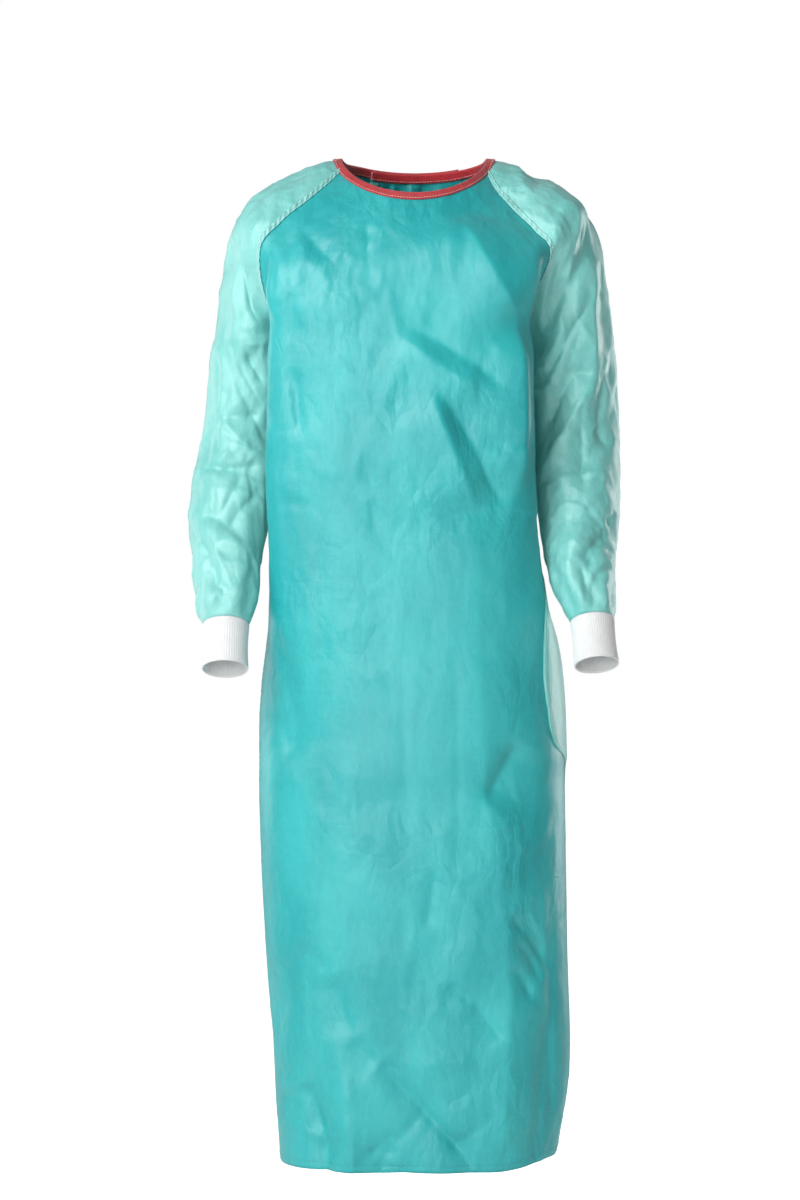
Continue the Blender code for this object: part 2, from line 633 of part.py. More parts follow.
def wall(name, outer, inner, colour, closed_from=None):
    """A closed wall between two grids of points, the outer one facing out."""
    rows, columns = outer.shape[:2]
    index = np.zeros((2, rows, columns), int)
    points = []
    for side, grid in enumerate((outer, inner)):
        for i in range(rows):
            ring = closed_from is not None and i >= closed_from
            for j in range(columns):
                if ring and j == columns - 1:
                    index[side, i, j] = index[side, i, 0]
                    continue
                index[side, i, j] = len(points)
                points.append(grid[i, j])
    faces = []
    for i in range(rows - 1):
        for j in range(columns - 1):
            a, b = index[0, i, j], index[0, i, j + 1]
            c, d = index[0, i + 1, j + 1], index[0, i + 1, j]
            faces.append((a, d, c, b))
            a, b = index[1, i, j], index[1, i, j + 1]
            c, d = index[1, i + 1, j + 1], index[1, i + 1, j]
            faces.append((a, b, c, d))
    for j in range(columns - 1):
        faces.append((index[0, 0, j], index[0, 0, j + 1], index[1, 0, j + 1], index[1, 0, j]))
        faces.append((index[0, -1, j + 1], index[0, -1, j], index[1, -1, j], index[1, -1, j + 1]))
    last_open = rows - 1 if closed_from is None else closed_from
    for i in range(last_open):
        faces.append((index[0, i + 1, 0], index[0, i, 0], index[1, i, 0], index[1, i + 1, 0]))
        faces.append((index[0, i, -1], index[0, i + 1, -1], index[1, i + 1, -1], index[1, i, -1]))
    return add_object(name, points, faces, colour)


def build_wall(piece):
    grid = trimmed(piece)
    half = piece.normals * CLOTH / 2
    wall(piece.name, grid + half, grid - half, piece.colour, piece.closed_from)


def hem_shape(grid):
    """The hem isn't level: it rises a little at the left side."""
    down = -grid[..., 2]
    rise = HEM_RISE_RIGHT * smooth((grid[..., 0] - 0.10) / 0.09) * smooth((down - 1.0) / 0.27)
    grid[..., 2] += rise
    return grid


def body_pieces():
    rows = CAP_ROWS + BODY_ROWS + 1
    front = np.array([evenly(front_line(i), FRONT_COLUMNS) for i in range(rows)])
    laps = [lap_at(i) for i in range(rows)]
    outer = np.array([part_of_back(i, laps[i].outer, 1.0, OUTER_COLUMNS) for i in range(rows)])
    under = np.array([part_of_back(i, 0.0, laps[i].under, UNDER_COLUMNS) for i in range(rows)])
    lengths = [lengths_along(back_line(i))[-1] for i in range(rows)]
    reach = [(1 - laps[i].under) * lengths[i] for i in range(rows)]
    made = [
        Piece("front_panel", hem_shape(front), ("first", "last"), TEAL),
        Piece("back_panel_under", hem_shape(under), ("first",), MINT),
        Piece("back_panel_outer", hem_shape(outer), ("last",), MINT),
    ]
    return made, reach, lengths


def sleeve_piece(name, cap, arm, sign):
    lines = []
    for i in range(CAP_ROWS + ARM_ROWS + 1):
        line = sleeve_line(cap, arm, sign, i)
        lines.append(evenly(line, SLEEVE_COLUMNS))
    grid = np.array(lines)
    if sign < 0:
        grid = grid[:, ::-1]
    return Piece(name, grid, ("first", "last", "bottom"), MINT, closed_from=CAP_ROWS)


def end_of_sleeve(piece):
    """The middle of the sleeve's last ring, the way down out of it, and the ways out from its middle."""
    ring = piece.grid[-1]
    centre = ring[:-1].mean(axis=0)
    turning = np.cross(ring[:-1] - centre, ring[1:] - centre).sum(axis=0)
    down = turning / np.linalg.norm(turning)
    if down[2] > 0:
        down = -down
    across = np.gradient(ring, axis=0)
    across[0] = across[-1] = ring[1] - ring[-2]
    out = np.cross(down, across)
    out /= np.linalg.norm(out, axis=1, keepdims=True)
    return centre, down, out


def cuff_wall(name, sleeve):
    """A knitted tube that carries on from the last ring of its sleeve."""
    ring = sleeve.grid[-1]
    centre, down, out = end_of_sleeve(sleeve)
    grids = []
    for share in np.linspace(0, 1, CUFF_ROWS + 1):
        narrowed = 1 - CUFF_WAIST * math.sin(math.pi * share)
        drop = SEAM_GAP / 2 + share * CUFF_LENGTH
        grids.append(centre + (ring - centre) * narrowed + down * drop)
    grid = np.array(grids)
    half = out * KNIT / 2
    wall(name, grid + half, grid - half, WHITE, closed_from=0)


def binding_path(pieces):
    """The neck edge from the end of the under panel round the front to the end of the outer panel,
    as points, the way that the cloth faces, and the way down into the cloth."""
    rows = []
    for name in BINDING_ORDER:
        piece = pieces[name]
        edge = np.stack([piece.grid[0], piece.normals[0], piece.grid[1] - piece.grid[0]])[:, ::-1]
        rows.append(edge[:, :-1])
    rows.append(edge[:, -1:])
    points, faces_way, down_way = np.concatenate(rows, axis=1)
    faces_way /= np.linalg.norm(faces_way, axis=1, keepdims=True)
    down_way /= np.linalg.norm(down_way, axis=1, keepdims=True)
    return points, faces_way, down_way


def binding_piece(pieces):
    """A strip folded over the neck edge: two legs and a fold, drawn as a hook-shaped outline that is
    carried along the edge."""
    points, faces_way, down_way = binding_path(pieces)
    inside = CLOTH / 2 + BINDING_GAP
    outside = inside + BINDING_CLOTH
    top = -SEAM_GAP - BINDING_FOLD
    outline = (
        (inside, BINDING_DEPTH),
        (outside, BINDING_DEPTH),
        (outside * 0.8, top),
        (-outside * 0.8, top),
        (-outside, BINDING_DEPTH),
        (-inside, BINDING_DEPTH),
        (-inside, -SEAM_GAP),
        (inside, -SEAM_GAP),
    )
    rings = [points + side * faces_way + down * down_way for side, down in outline]
    grid = np.stack(rings, axis=1)
    steps, corners = grid.shape[:2]
    faces = []
    for i in range(steps - 1):
        for j in range(corners):
            k = (j + 1) % corners
            a, b = i * corners + j, i * corners + k
            c, d = (i + 1) * corners + k, (i + 1) * corners + j
            faces.append((a, b, c, d))
    for start, order in ((0, -1), ((steps - 1) * corners, 1)):
        for quad in ((0, 1, 2, 7), (2, 3, 6, 7), (3, 4, 5, 6)):
            faces.append(tuple(start + k for k in quad[::order]))
    add_object("neck_binding", grid.reshape(-1, 3), faces, RED)


def main():
    for old in list(bpy.data.objects):
        bpy.data.objects.remove(old)
    body, reach, lengths = body_pieces()
    sleeves = [
        sleeve_piece("sleeve_right", CAP_RIGHT, ARM_RIGHT, -1),
        sleeve_piece("sleeve_left", CAP_LEFT, ARM_LEFT, 1),
    ]
    pieces = {piece.name: piece for piece in body + sleeves}
    for piece in pieces.values():
        piece.normals = normals_of(piece.grid, piece.closed_from)
    share_normals(pieces.values())
    for piece in body:
        moved = body_folds(piece.grid, piece.normals) * held_at_seams(piece)
        if piece.name == "back_panel_outer":
            moved = moved + layer_step(piece.grid, reach, lengths)
        piece.move_out(moved)
    for piece, folds in zip(sleeves, (SLEEVE_FOLDS_RIGHT, SLEEVE_FOLDS_LEFT)):
        moved = sleeve_folds(folds, piece.grid if piece.name == "sleeve_left" else piece.grid[:, ::-1])
        piece.move_out(moved if piece.name == "sleeve_left" else moved[:, ::-1])
    for piece in pieces.values():
        piece.normals = normals_of(piece.grid, piece.closed_from)
    share_normals(pieces.values())
    for piece in sleeves:
        piece.normals[-1] = end_of_sleeve(piece)[2]
    for piece in pieces.values():
        build_wall(piece)
    cuff_wall("cuff_right", pieces["sleeve_right"])
    cuff_wall("cuff_left", pieces["sleeve_left"])
    binding_piece(pieces)


main()
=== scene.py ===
import math
from collections import namedtuple

import bpy
import numpy as np
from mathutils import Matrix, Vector, noise


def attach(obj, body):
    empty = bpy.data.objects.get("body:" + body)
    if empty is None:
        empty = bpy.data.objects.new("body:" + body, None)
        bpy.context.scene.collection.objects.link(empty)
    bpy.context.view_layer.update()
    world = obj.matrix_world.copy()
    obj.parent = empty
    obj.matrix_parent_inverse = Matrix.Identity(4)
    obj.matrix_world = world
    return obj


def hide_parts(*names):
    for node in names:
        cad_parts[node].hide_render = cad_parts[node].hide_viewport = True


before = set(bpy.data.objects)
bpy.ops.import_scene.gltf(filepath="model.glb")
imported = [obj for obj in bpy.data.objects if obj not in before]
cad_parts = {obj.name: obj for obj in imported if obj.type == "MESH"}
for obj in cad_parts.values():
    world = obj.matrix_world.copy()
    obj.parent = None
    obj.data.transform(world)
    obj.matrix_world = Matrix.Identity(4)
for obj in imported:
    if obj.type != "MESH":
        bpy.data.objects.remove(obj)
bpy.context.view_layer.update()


# The front panel
# One length of teal polyester cloth, cut to the neck and to the raglan seams. It hangs from the neck
# to the hem, and its long sides are sewn to the back panels behind the wearer's sides.

CAP_ROWS = 60
BODY_ROWS = 226
FRONT_COLUMNS = 156
FINE = 360
ROW_CROWDING = 0.4
CLOTH = 0.0007

# Neck opening, measured at the fold of the binding
NECK_HALF_WIDTH = 0.0935
NECK_FRONT = 0.085
NECK_BACK = 0.075
NECK_DROP_FRONT = 0.054
NECK_DROP_BACK = 0.010
FRONT_SEAM_AT = math.radians(74)
ARMPIT = 0.235
PINCH_AT = 0.005
PINCH_WIDTH = 0.068
SEAM_ANGLE = math.radians(93)
ARMPIT_PULL = 0.016
PULL_SPREAD = 0.055
PULL_BELOW = 0.045
HEM_RISE_RIGHT = 0.012

Section = namedtuple("Section", "down right_side left_side pinch_right pinch_left front back square")
BODY = (
    Section(0.235, 0.206, 0.161, 0.3447, 0.2398, 0.136, 0.118, 3.1),
    Section(0.310, 0.206, 0.160, 0.340, 0.230, 0.139, 0.112, 3.2),
    Section(0.375, 0.206, 0.163, 0.310, 0.200, 0.139, 0.107, 3.2),
    Section(0.440, 0.206, 0.167, 0.280, 0.180, 0.138, 0.106, 3.1),
    Section(0.500, 0.202, 0.171, 0.215, 0.140, 0.137, 0.109, 3.0),
    Section(0.563, 0.199, 0.178, 0.120, 0.080, 0.137, 0.116, 2.9),
    Section(0.620, 0.195, 0.184, 0.040, 0.020, 0.138, 0.123, 2.7),
    Section(0.680, 0.195, 0.188, 0.000, 0.000, 0.139, 0.128, 2.6),
    Section(0.755, 0.197, 0.191, 0.000, 0.000, 0.140, 0.131, 2.6),
    Section(0.883, 0.195, 0.193, 0.000, 0.000, 0.140, 0.130, 2.7),
    Section(1.011, 0.188, 0.195, 0.000, 0.000, 0.138, 0.126, 2.9),
    Section(1.139, 0.178, 0.198, 0.000, 0.000, 0.136, 0.122, 3.1),
    Section(1.203, 0.175, 0.194, 0.000, 0.000, 0.135, 0.120, 3.2),
    Section(1.272, 0.170, 0.181, 0.000, 0.000, 0.134, 0.118, 3.3),
)

# Down the middle of the front and of the back, from the neck to the level of the armpits
Middle = namedtuple("Middle", "along front_y front_down back_y back_down")
MIDDLES = (
    Middle(0.00, -0.085, 0.054, 0.075, 0.010),
    Middle(0.20, -0.102, 0.083, 0.091, 0.048),
    Middle(0.40, -0.116, 0.114, 0.105, 0.091),
    Middle(0.60, -0.126, 0.148, 0.115, 0.135),
    Middle(0.80, -0.132, 0.189, 0.119, 0.184),
    Middle(1.00, -0.136, 0.235, 0.118, 0.235),
)

# Raglan seams from the neck to the armpit, and the ridge of the shoulder between them
Cap = namedtuple("Cap", "along front_x front_y front_down ridge_x ridge_down back_x back_y back_down")
CAP_RIGHT = (
    Cap(0.00, 0.0899, -0.0234, 0.0149, 0.0935, 0.000, 0.0889, 0.0232, 0.0022),
    Cap(0.20, 0.1130, -0.0470, 0.0400, 0.1220, 0.006, 0.1080, 0.0520, 0.0320),
    Cap(0.40, 0.1390, -0.0650, 0.0640, 0.1580, 0.021, 0.1310, 0.0730, 0.0620),
    Cap(0.60, 0.1680, -0.0790, 0.0900, 0.1930, 0.040, 0.1560, 0.0870, 0.0980),
    Cap(0.75, 0.1930, -0.0850, 0.1250, 0.2160, 0.062, 0.1750, 0.0850, 0.1360),
    Cap(0.88, 0.1850, -0.0580, 0.1850, 0.2340, 0.098, 0.1720, 0.0570, 0.1860),
    Cap(1.00, 0.1510, 0.0050, 0.2350, 0.2440, 0.145, 0.1510, 0.0050, 0.2350),
)
CAP_LEFT = (
    Cap(0.00, 0.0899, -0.0234, 0.0149, 0.0935, 0.000, 0.0889, 0.0232, 0.0022),
    Cap(0.20, 0.1040, -0.0450, 0.0450, 0.1230, 0.006, 0.1050, 0.0520, 0.0330),
    Cap(0.40, 0.1260, -0.0630, 0.0730, 0.1590, 0.021, 0.1250, 0.0730, 0.0640),
    Cap(0.60, 0.1510, -0.0780, 0.1000, 0.1940, 0.039, 0.1480, 0.0860, 0.1010),
    Cap(0.75, 0.1700, -0.0830, 0.1290, 0.2180, 0.061, 0.1620, 0.0840, 0.1370),
    Cap(0.88, 0.1490, -0.0480, 0.1850, 0.2350, 0.097, 0.1570, 0.0560, 0.1860),
    Cap(1.00, 0.1384, 0.0050, 0.2350, 0.2460, 0.145, 0.1384, 0.0050, 0.2350),
)

# Large folds, as soft ridges (above 0) and troughs (below 0) between two points
Fold = namedtuple("Fold", "x1 down1 x2 down2 width height")
FRONT_FOLDS = (
    Fold(-0.154, 0.086, -0.098, 0.148, 0.009, -0.0040),
    Fold(-0.157, 0.111, -0.154, 0.179, 0.008, -0.0028),
    Fold(-0.179, 0.130, -0.176, 0.192, 0.007, -0.0030),
    Fold(-0.059, 0.074, -0.058, 0.148, 0.008, -0.0022),
    Fold(0.056, 0.070, 0.060, 0.130, 0.012, -0.0030),
    Fold(-0.148, 0.365, -0.147, 0.415, 0.008, -0.0022),
    Fold(-0.120, 0.440, -0.122, 0.700, 0.010, -0.0010),
    Fold(-0.086, 0.580, -0.074, 0.770, 0.010, -0.0010),
    Fold(-0.065, 0.640, -0.062, 0.860, 0.009, -0.0007),
    Fold(-0.049, 0.300, -0.052, 0.520, 0.010, -0.0009),
    Fold(-0.033, 0.560, -0.028, 0.730, 0.009, -0.0008),
    Fold(-0.014, 0.660, -0.008, 0.900, 0.010, -0.0010),
    Fold(0.018, 0.560, 0.024, 0.700, 0.009, -0.0007),
    Fold(0.050, 0.600, 0.054, 0.840, 0.010, -0.0009),
    Fold(-0.130, 1.100, -0.108, 1.290, 0.018, -0.0080),
    Fold(-0.085, 1.140, -0.080, 1.300, 0.024, 0.0060),
    Fold(-0.061, 1.262, 0.007, 1.272, 0.010, -0.0050),
    Fold(0.000, 1.170, 0.090, 1.290, 0.018, -0.0040),
    Fold(0.040, 1.180, 0.030, 1.300, 0.030, 0.0050),
    Fold(0.165, 1.060, 0.150, 1.290, 0.016, -0.0060),
)

# Creases with a steep side and a long one. They run from a first point to a second one, bend sideways
# on the way, and are narrow on the left of that way and wide on its right, as seen from the front.
CREASE_ROUNDING = 0.0018
SEAM_HOLD = 0.016
Crease = namedtuple("Crease", "x1 down1 x2 down2 bend narrow wide height")
FRONT_CREASES = (
    # the dark slopes of the wearer's left chest
    Crease(0.038, 0.074, 0.131, 0.226, 0.006, 0.050, 0.080, 0.0190),
    Crease(0.122, 0.205, 0.130, 0.440, 0.000, 0.016, 0.060, 0.0260),
    Crease(-0.024, 0.235, 0.093, 0.315, 0.000, 0.018, 0.060, 0.0085),
    Crease(-0.018, 0.222, 0.121, 0.313, 0.008, 0.045, 0.016, -0.0085),
    Crease(0.019, 0.303, 0.076, 0.454, 0.000, 0.012, 0.070, 0.0120),
    Crease(0.026, 0.298, 0.112, 0.454, 0.004, 0.055, 0.012, -0.0120),
    Crease(0.106, 0.440, 0.162, 0.454, 0.000, 0.030, 0.018, 0.0040),
    Crease(0.096, 0.247, 0.076, 0.288, 0.000, 0.005, 0.006, -0.0020),
    Crease(0.076, 0.288, 0.079, 0.322, 0.000, 0.005, 0.006, -0.0020),
    Crease(0.085, 0.362, 0.150, 0.372, -0.002, 0.006, 0.010, -0.0032),
    Crease(0.086, 0.364, 0.131, 0.402, 0.003, 0.004, 0.006, -0.0015),
    # the ridge from the waist to the hem, with the side turned away from the light
    Crease(0.080, 0.455, 0.078, 0.640, -0.001, 0.050, 0.090, 0.0070),
    Crease(0.077, 0.600, 0.087, 0.830, 0.002, 0.050, 0.090, 0.0080),
    Crease(0.085, 0.780, 0.118, 1.060, 0.003, 0.045, 0.080, 0.0120),
    Crease(0.118, 1.010, 0.107, 1.270, 0.000, 0.040, 0.060, 0.0110),
    Crease(0.133, 0.738, 0.088, 0.818, -0.003, 0.034, 0.013, -0.0110),
    # sharp lines of the wearer's right side
    Crease(-0.154, 0.176, -0.153, 0.247, 0.000, 0.012, 0.006, -0.0040),
    Crease(-0.154, 0.272, -0.144, 0.367, 0.001, 0.014, 0.006, -0.0060),
    Crease(-0.173, 0.443, -0.120, 0.446, 0.001, 0.004, 0.006, -0.0015),
    Crease(-0.172, 0.600, -0.150, 0.790, 0.003, 0.060, 0.028, -0.0090),
    Crease(-0.178, 0.700, -0.158, 0.764, 0.000, 0.030, 0.009, -0.0050),
    # the skirt
    Crease(0.024, 0.895, 0.012, 0.975, 0.002, 0.014, 0.006, -0.0042),
    Crease(-0.144, 0.990, -0.105, 1.024, 0.000, 0.008, 0.055, -0.0060),
    Crease(-0.105, 1.024, -0.077, 1.105, -0.001, 0.010, 0.050, -0.0070),
    Crease(-0.077, 1.105, -0.043, 1.137, -0.002, 0.010, 0.020, -0.0045),
    Crease(-0.043, 1.137, 0.071, 1.260, 0.001, 0.006, 0.012, -0.0070),
    Crease(-0.045, 1.137, -0.015, 1.142, 0.000, 0.005, 0.012, -0.0035),
    Crease(-0.015, 1.142, 0.081, 1.133, 0.002, 0.040, 0.020, 0.0050),
    Crease(0.038, 1.040, 0.071, 1.058, 0.002, 0.005, 0.008, -0.0035),
    Crease(0.071, 1.058, 0.113, 1.113, 0.000, 0.005, 0.010, -0.0045),
    Crease(0.112, 0.950, 0.170, 1.027, 0.004, 0.006, 0.008, -0.0060),
    Crease(0.133, 0.955, 0.162, 1.010, 0.004, 0.005, 0.007, -0.0050),
    Crease(0.124, 0.985, 0.158, 1.042, 0.004, 0.005, 0.007, -0.0050),
    Crease(0.118, 1.015, 0.146, 1.064, 0.003, 0.005, 0.007, -0.0045),
    Crease(0.171, 0.922, 0.171, 1.244, 0.000, 0.006, 0.010, -0.0045),
    Crease(-0.143, 1.160, -0.113, 1.234, 0.000, 0.008, 0.035, -0.0110),
    Crease(-0.113, 1.225, -0.112, 1.290, 0.000, 0.008, 0.035, -0.0110),
    Crease(-0.098, 1.114, -0.076, 1.197, 0.001, 0.006, 0.014, 0.0025),
    Crease(-0.076, 1.197, -0.076, 1.290, 0.000, 0.005, 0.012, 0.0025),
    Crease(-0.173, 1.156, -0.149, 1.156, 0.000, 0.004, 0.005, -0.0018),
    Crease(-0.071, 1.262, -0.015, 1.217, 0.001, 0.006, 0.008, -0.0040),
    Crease(-0.049, 1.266, 0.013, 1.194, 0.000, 0.005, 0.008, -0.0035),
    Crease(-0.061, 1.244, -0.018, 1.246, 0.000, 0.004, 0.007, -0.0030),
    Crease(0.044, 1.244, 0.106, 1.194, 0.000, 0.006, 0.010, -0.0030),
)


def smooth(share):
    """0 up to 0, 1 from 1 on, and an easy curve between."""
    share = np.clip(share, 0.0, 1.0)
    return share * share * (3 - 2 * share)


def peak(distance):
    """1 at 0 and nothing from 1 on, with a corner at the top."""
    return np.clip(1 - distance, 0, None) ** 1.6


def row_at(table, station):
    """The row of a table at any station, on smooth curves through the rows that it has."""
    values = np.array(table, float)
    stations = values[:, 0]
    slopes = np.gradient(values, stations, axis=0)
    station = min(max(station, stations[0]), stations[-1])
    i = min(int(np.searchsorted(stations, station, side="right")) - 1, len(table) - 2)
    span = stations[i + 1] - stations[i]
    t = (station - stations[i]) / span
    start = (1 + 2 * t) * (1 - t) ** 2 * values[i] + t * (1 - t) ** 2 * span * slopes[i]
    end = t * t * (3 - 2 * t) * values[i + 1] + t * t * (t - 1) * span * slopes[i + 1]
    return type(table[0])(*(start + end))


def lengths_along(line):
    """The distance from the start of a line to each of its points."""
    steps = np.linalg.norm(np.diff(line, axis=0), axis=1)
    return np.concatenate([[0.0], np.cumsum(steps)])


def points_at(line, distances):
    """Points at these distances along a line."""
    lengths = lengths_along(line)
    return np.stack([np.interp(distances, lengths, line[:, axis]) for axis in range(3)], axis=1)


def evenly(line, columns):
    """A line as columns + 1 points the same distance apart."""
    return points_at(line, np.linspace(0, lengths_along(line)[-1], columns + 1))


def cap_along(row):
    """How far along the raglan seam a row lies, with closer rows at the neck and at the armpit."""
    share = row / CAP_ROWS
    return share - ROW_CROWDING * math.sin(2 * math.pi * share) / (2 * math.pi)


def neck_line(angles):
    """Points on the neck opening. An angle is 0 at the front and turns to the wearer's left."""
    sine, cosine = np.sin(angles), np.cos(angles)
    front, back = np.clip(cosine, 0, None), np.clip(-cosine, 0, None)
    x = NECK_HALF_WIDTH * sine
    y = NECK_BACK * back - NECK_FRONT * front
    z = -NECK_DROP_FRONT * front**1.2 - NECK_DROP_BACK * back**1.3
    return np.stack([x, y, z], axis=1)


def body_line(down, angles):
    """Points round the body at one level, on a soft-cornered ring drawn in where the arms hang."""
    ring = row_at(BODY, down)
    sine, cosine = np.sin(angles), np.cos(angles)
    power = 2 / ring.square
    side = np.where(sine > 0, ring.left_side, -ring.right_side)
    pinch = np.where(sine > 0, ring.pinch_left, ring.pinch_right)
    depth = np.where(cosine > 0, -ring.front, ring.back)
    x = side * np.abs(sine) ** power
    y = depth * np.abs(cosine) ** power
    x = x * (1 - pinch * np.exp(-(np.abs((y - PINCH_AT) / PINCH_WIDTH) ** 3)))
    pull = ARMPIT_PULL * (1 - smooth((down - ARMPIT) / PULL_BELOW))
    x = x + np.sign(x) * pull * peak(np.abs(y - PINCH_AT) / PULL_SPREAD)
    z = np.full(len(angles), -down)
    return np.stack([x, y, z], axis=1)


def three_point(shares, first, middle, last):
    """A parabola through three points, at 0, one half and 1."""
    shares = shares[:, None]
    return (
        2 * (shares - 0.5) * (shares - 1) * first
        + 4 * shares * (1 - shares) * middle
        + 2 * shares * (shares - 0.5) * last
    )


def yoke_line(along, top, bottom, first, middle, last):
    """A line across the chest or the back, between the neck (along 0) and the armpits (along 1). It
    has its three given points, and its shape passes from that of the top line to the bottom one's."""
    shares = np.linspace(0, 1, len(top))
    top_extra = top - three_point(shares, top[0], top[len(top) // 2], top[-1])
    bottom_extra = bottom - three_point(shares, bottom[0], bottom[len(bottom) // 2], bottom[-1])
    blend = along**2.5
    return three_point(shares, first, middle, last) + (1 - blend) * top_extra + blend * bottom_extra


def cap_points(along):
    """Front seam, ridge and back seam of both shoulders, as (right, left)."""
    found = []
    for table, sign in ((CAP_RIGHT, -1), (CAP_LEFT, 1)):
        row = row_at(table, along)
        found.append(
            (
                np.array([sign * row.front_x, row.front_y, -row.front_down]),
                np.array([sign * row.ridge_x, 0.0, -row.ridge_down]),
                np.array([sign * row.back_x, row.back_y, -row.back_down]),
            )
        )
    return found


def front_line(row):
    """One line across the front panel, from the right seam to the left one."""
    half = np.linspace(-1, 1, 2 * FINE + 1)
    if row >= CAP_ROWS:
        down = body_down(row - CAP_ROWS)
        return body_line(down, half * seam_angle(down))
    along = cap_along(row)
    right, left = cap_points(along)
    if row == 0:
        return neck_line(half * FRONT_SEAM_AT)
    top = evenly(neck_line(half * FRONT_SEAM_AT), 2 * FINE)
    bottom = evenly(body_line(ARMPIT, half * math.pi / 2), 2 * FINE)
    middle = row_at(MIDDLES, along)
    centre = np.array([along * bottom[FINE, 0], middle.front_y, -middle.front_down])
    return yoke_line(along, top, bottom, right[0], centre, left[0])


def seam_angle(down):
    """The side seams start in the armpits and pass behind the sides below them."""
    return math.pi / 2 + (SEAM_ANGLE - math.pi / 2) * smooth((down - ARMPIT) / 0.3)


def body_down(row):
    """How far below the neck a row of the body lies."""
    return ARMPIT + (BODY[-1].down - ARMPIT) * row / BODY_ROWS


def normals_of(grid, closed_from=None):
    """The direction that the cloth faces at each point of a grid, out of the gown. From the row
    closed_from on, the first and last columns are one line."""
    along = np.gradient(grid, axis=0)
    across = np.gradient(grid, axis=1)
    if closed_from is not None:
        ring = slice(closed_from, None)
        meet = grid[ring, 1] - grid[ring, -2]
        across[ring, 0] = across[ring, -1] = meet / 2
    normals = np.cross(along, across)
    normals /= np.maximum(np.linalg.norm(normals, axis=2, keepdims=True), 1e-12)
    return normals


def ridge_height(here, start, end, width, height):
    """The height of one soft fold at points of a flat drawing: full in the middle, and fading to its
    ends."""
    run = end - start
    share = np.clip((here - start) @ run / (run @ run), 0, 1)
    away = np.linalg.norm(here - (start + share[..., None] * run), axis=-1)
    taper = smooth(share / 0.3) * smooth((1 - share) / 0.3)
    profile = np.exp(-1.3 * (np.hypot(away / width, 0.25) - 0.25))
    return height * profile * (0.15 + 0.85 * taper)


def crease_height(here, crease):
    """The height of one crease at points of the drawing."""
    start = np.array([crease.x1, crease.down1])
    run = np.array([crease.x2, crease.down2]) - start
    length = np.linalg.norm(run)
    run /= length
    left = np.array([run[1], -run[0]])
    along = (here - start) @ run / length
    share = np.clip(along, 0, 1)
    aside = (here - start) @ left - crease.bend * 4 * share * (1 - share)
    beyond = (along - share) * length / crease.wide
    width = np.where(aside > 0, crease.narrow, crease.wide)
    rounding = CREASE_ROUNDING / width
    away = np.sqrt((aside / width) ** 2 + beyond**2 + rounding**2) - rounding
    taper = smooth(share / 0.3 + 0.1) * smooth((1 - share) / 0.3 + 0.1)
    return crease.height * np.exp(-away) * taper


def folds_and_creases(grid, normals, front_folds, front_creases, back_folds, back_creases):
    """How far folds and creases move each point of a panel out, on its front and on its back."""
    here = np.stack([grid[..., 0], -grid[..., 2]], axis=-1)
    moved = np.zeros(grid.shape[:2])
    sides = ((front_folds, front_creases, -1), (back_folds, back_creases, 1))
    for folds, creases, side in sides:
        facing = smooth(side * normals[..., 1] / 0.5)
        for fold in folds:
            start, end = np.array([fold.x1, fold.down1]), np.array([fold.x2, fold.down2])
            moved += facing * ridge_height(here, start, end, fold.width, fold.height)
        for crease in creases:
            moved += facing * crease_height(here, crease)
    return moved


# One fixed draw for the crumples, so that each run gives the same cloth
noise.seed_set(7)


def crumple(grid, size, seed):
    """The facets of crushed cloth: shallow pits with flat sides and sharp ridges between them, longer
    down than across. A pit is about as wide as the size given."""
    found = np.empty(grid.shape[:2])
    shift = Vector((seed, 1.7 * seed, 0.3 * seed))
    for index in np.ndindex(found.shape):
        x, y, z = grid[index]
        at = Vector((x, y, z / 1.6)) / size + shift
        at += 0.6 * noise.noise_vector(0.8 * at)
        nearest = noise.voronoi(at)[0]
        found[index] = nearest[0] - nearest[1]
    return found - found.mean()


def patches(grid, size, seed):
    """From 0 to 1: where the cloth is calm and where it is crushed."""
    found = np.empty(grid.shape[:2])
    for index in np.ndindex(found.shape):
        found[index] = noise.noise(Vector(grid[index]) / size + Vector((seed, 0, 0)))
    return smooth(0.5 + 1.2 * found)


def panel_relief(grid, normals, back_folds=(), back_creases=()):
    """How far the folds, creases and crumples of the body move each point of a panel out. Where two
    panels lie over each other, they are the same for both."""
    moved = folds_and_creases(grid, normals, FRONT_FOLDS, FRONT_CREASES, back_folds, back_creases)
    moved *= smooth((-grid[..., 2] - 0.06) / 0.06)
    crushed = 0.25 + 0.75 * patches(grid, 0.16, 3.0)
    return moved + (0.0038 * crumple(grid, 0.062, 5.0) + 0.0013 * crumple(grid, 0.022, 11.0)) * crushed


def held_back(grid, edges, reach):
    """0 on the named edges of a panel and 1 from this reach on, for cloth that is held by a seam."""
    held = np.ones(grid.shape[:2])
    for i, line in enumerate(grid):
        lengths = lengths_along(line)
        if "first" in edges:
            held[i] *= smooth(lengths / reach)
        if "last" in edges:
            held[i] *= smooth((lengths[-1] - lengths) / reach)
    for j in range(grid.shape[1]):
        lengths = lengths_along(grid[:, j])
        if "top" in edges:
            held[:, j] *= smooth(lengths / reach)
    return held


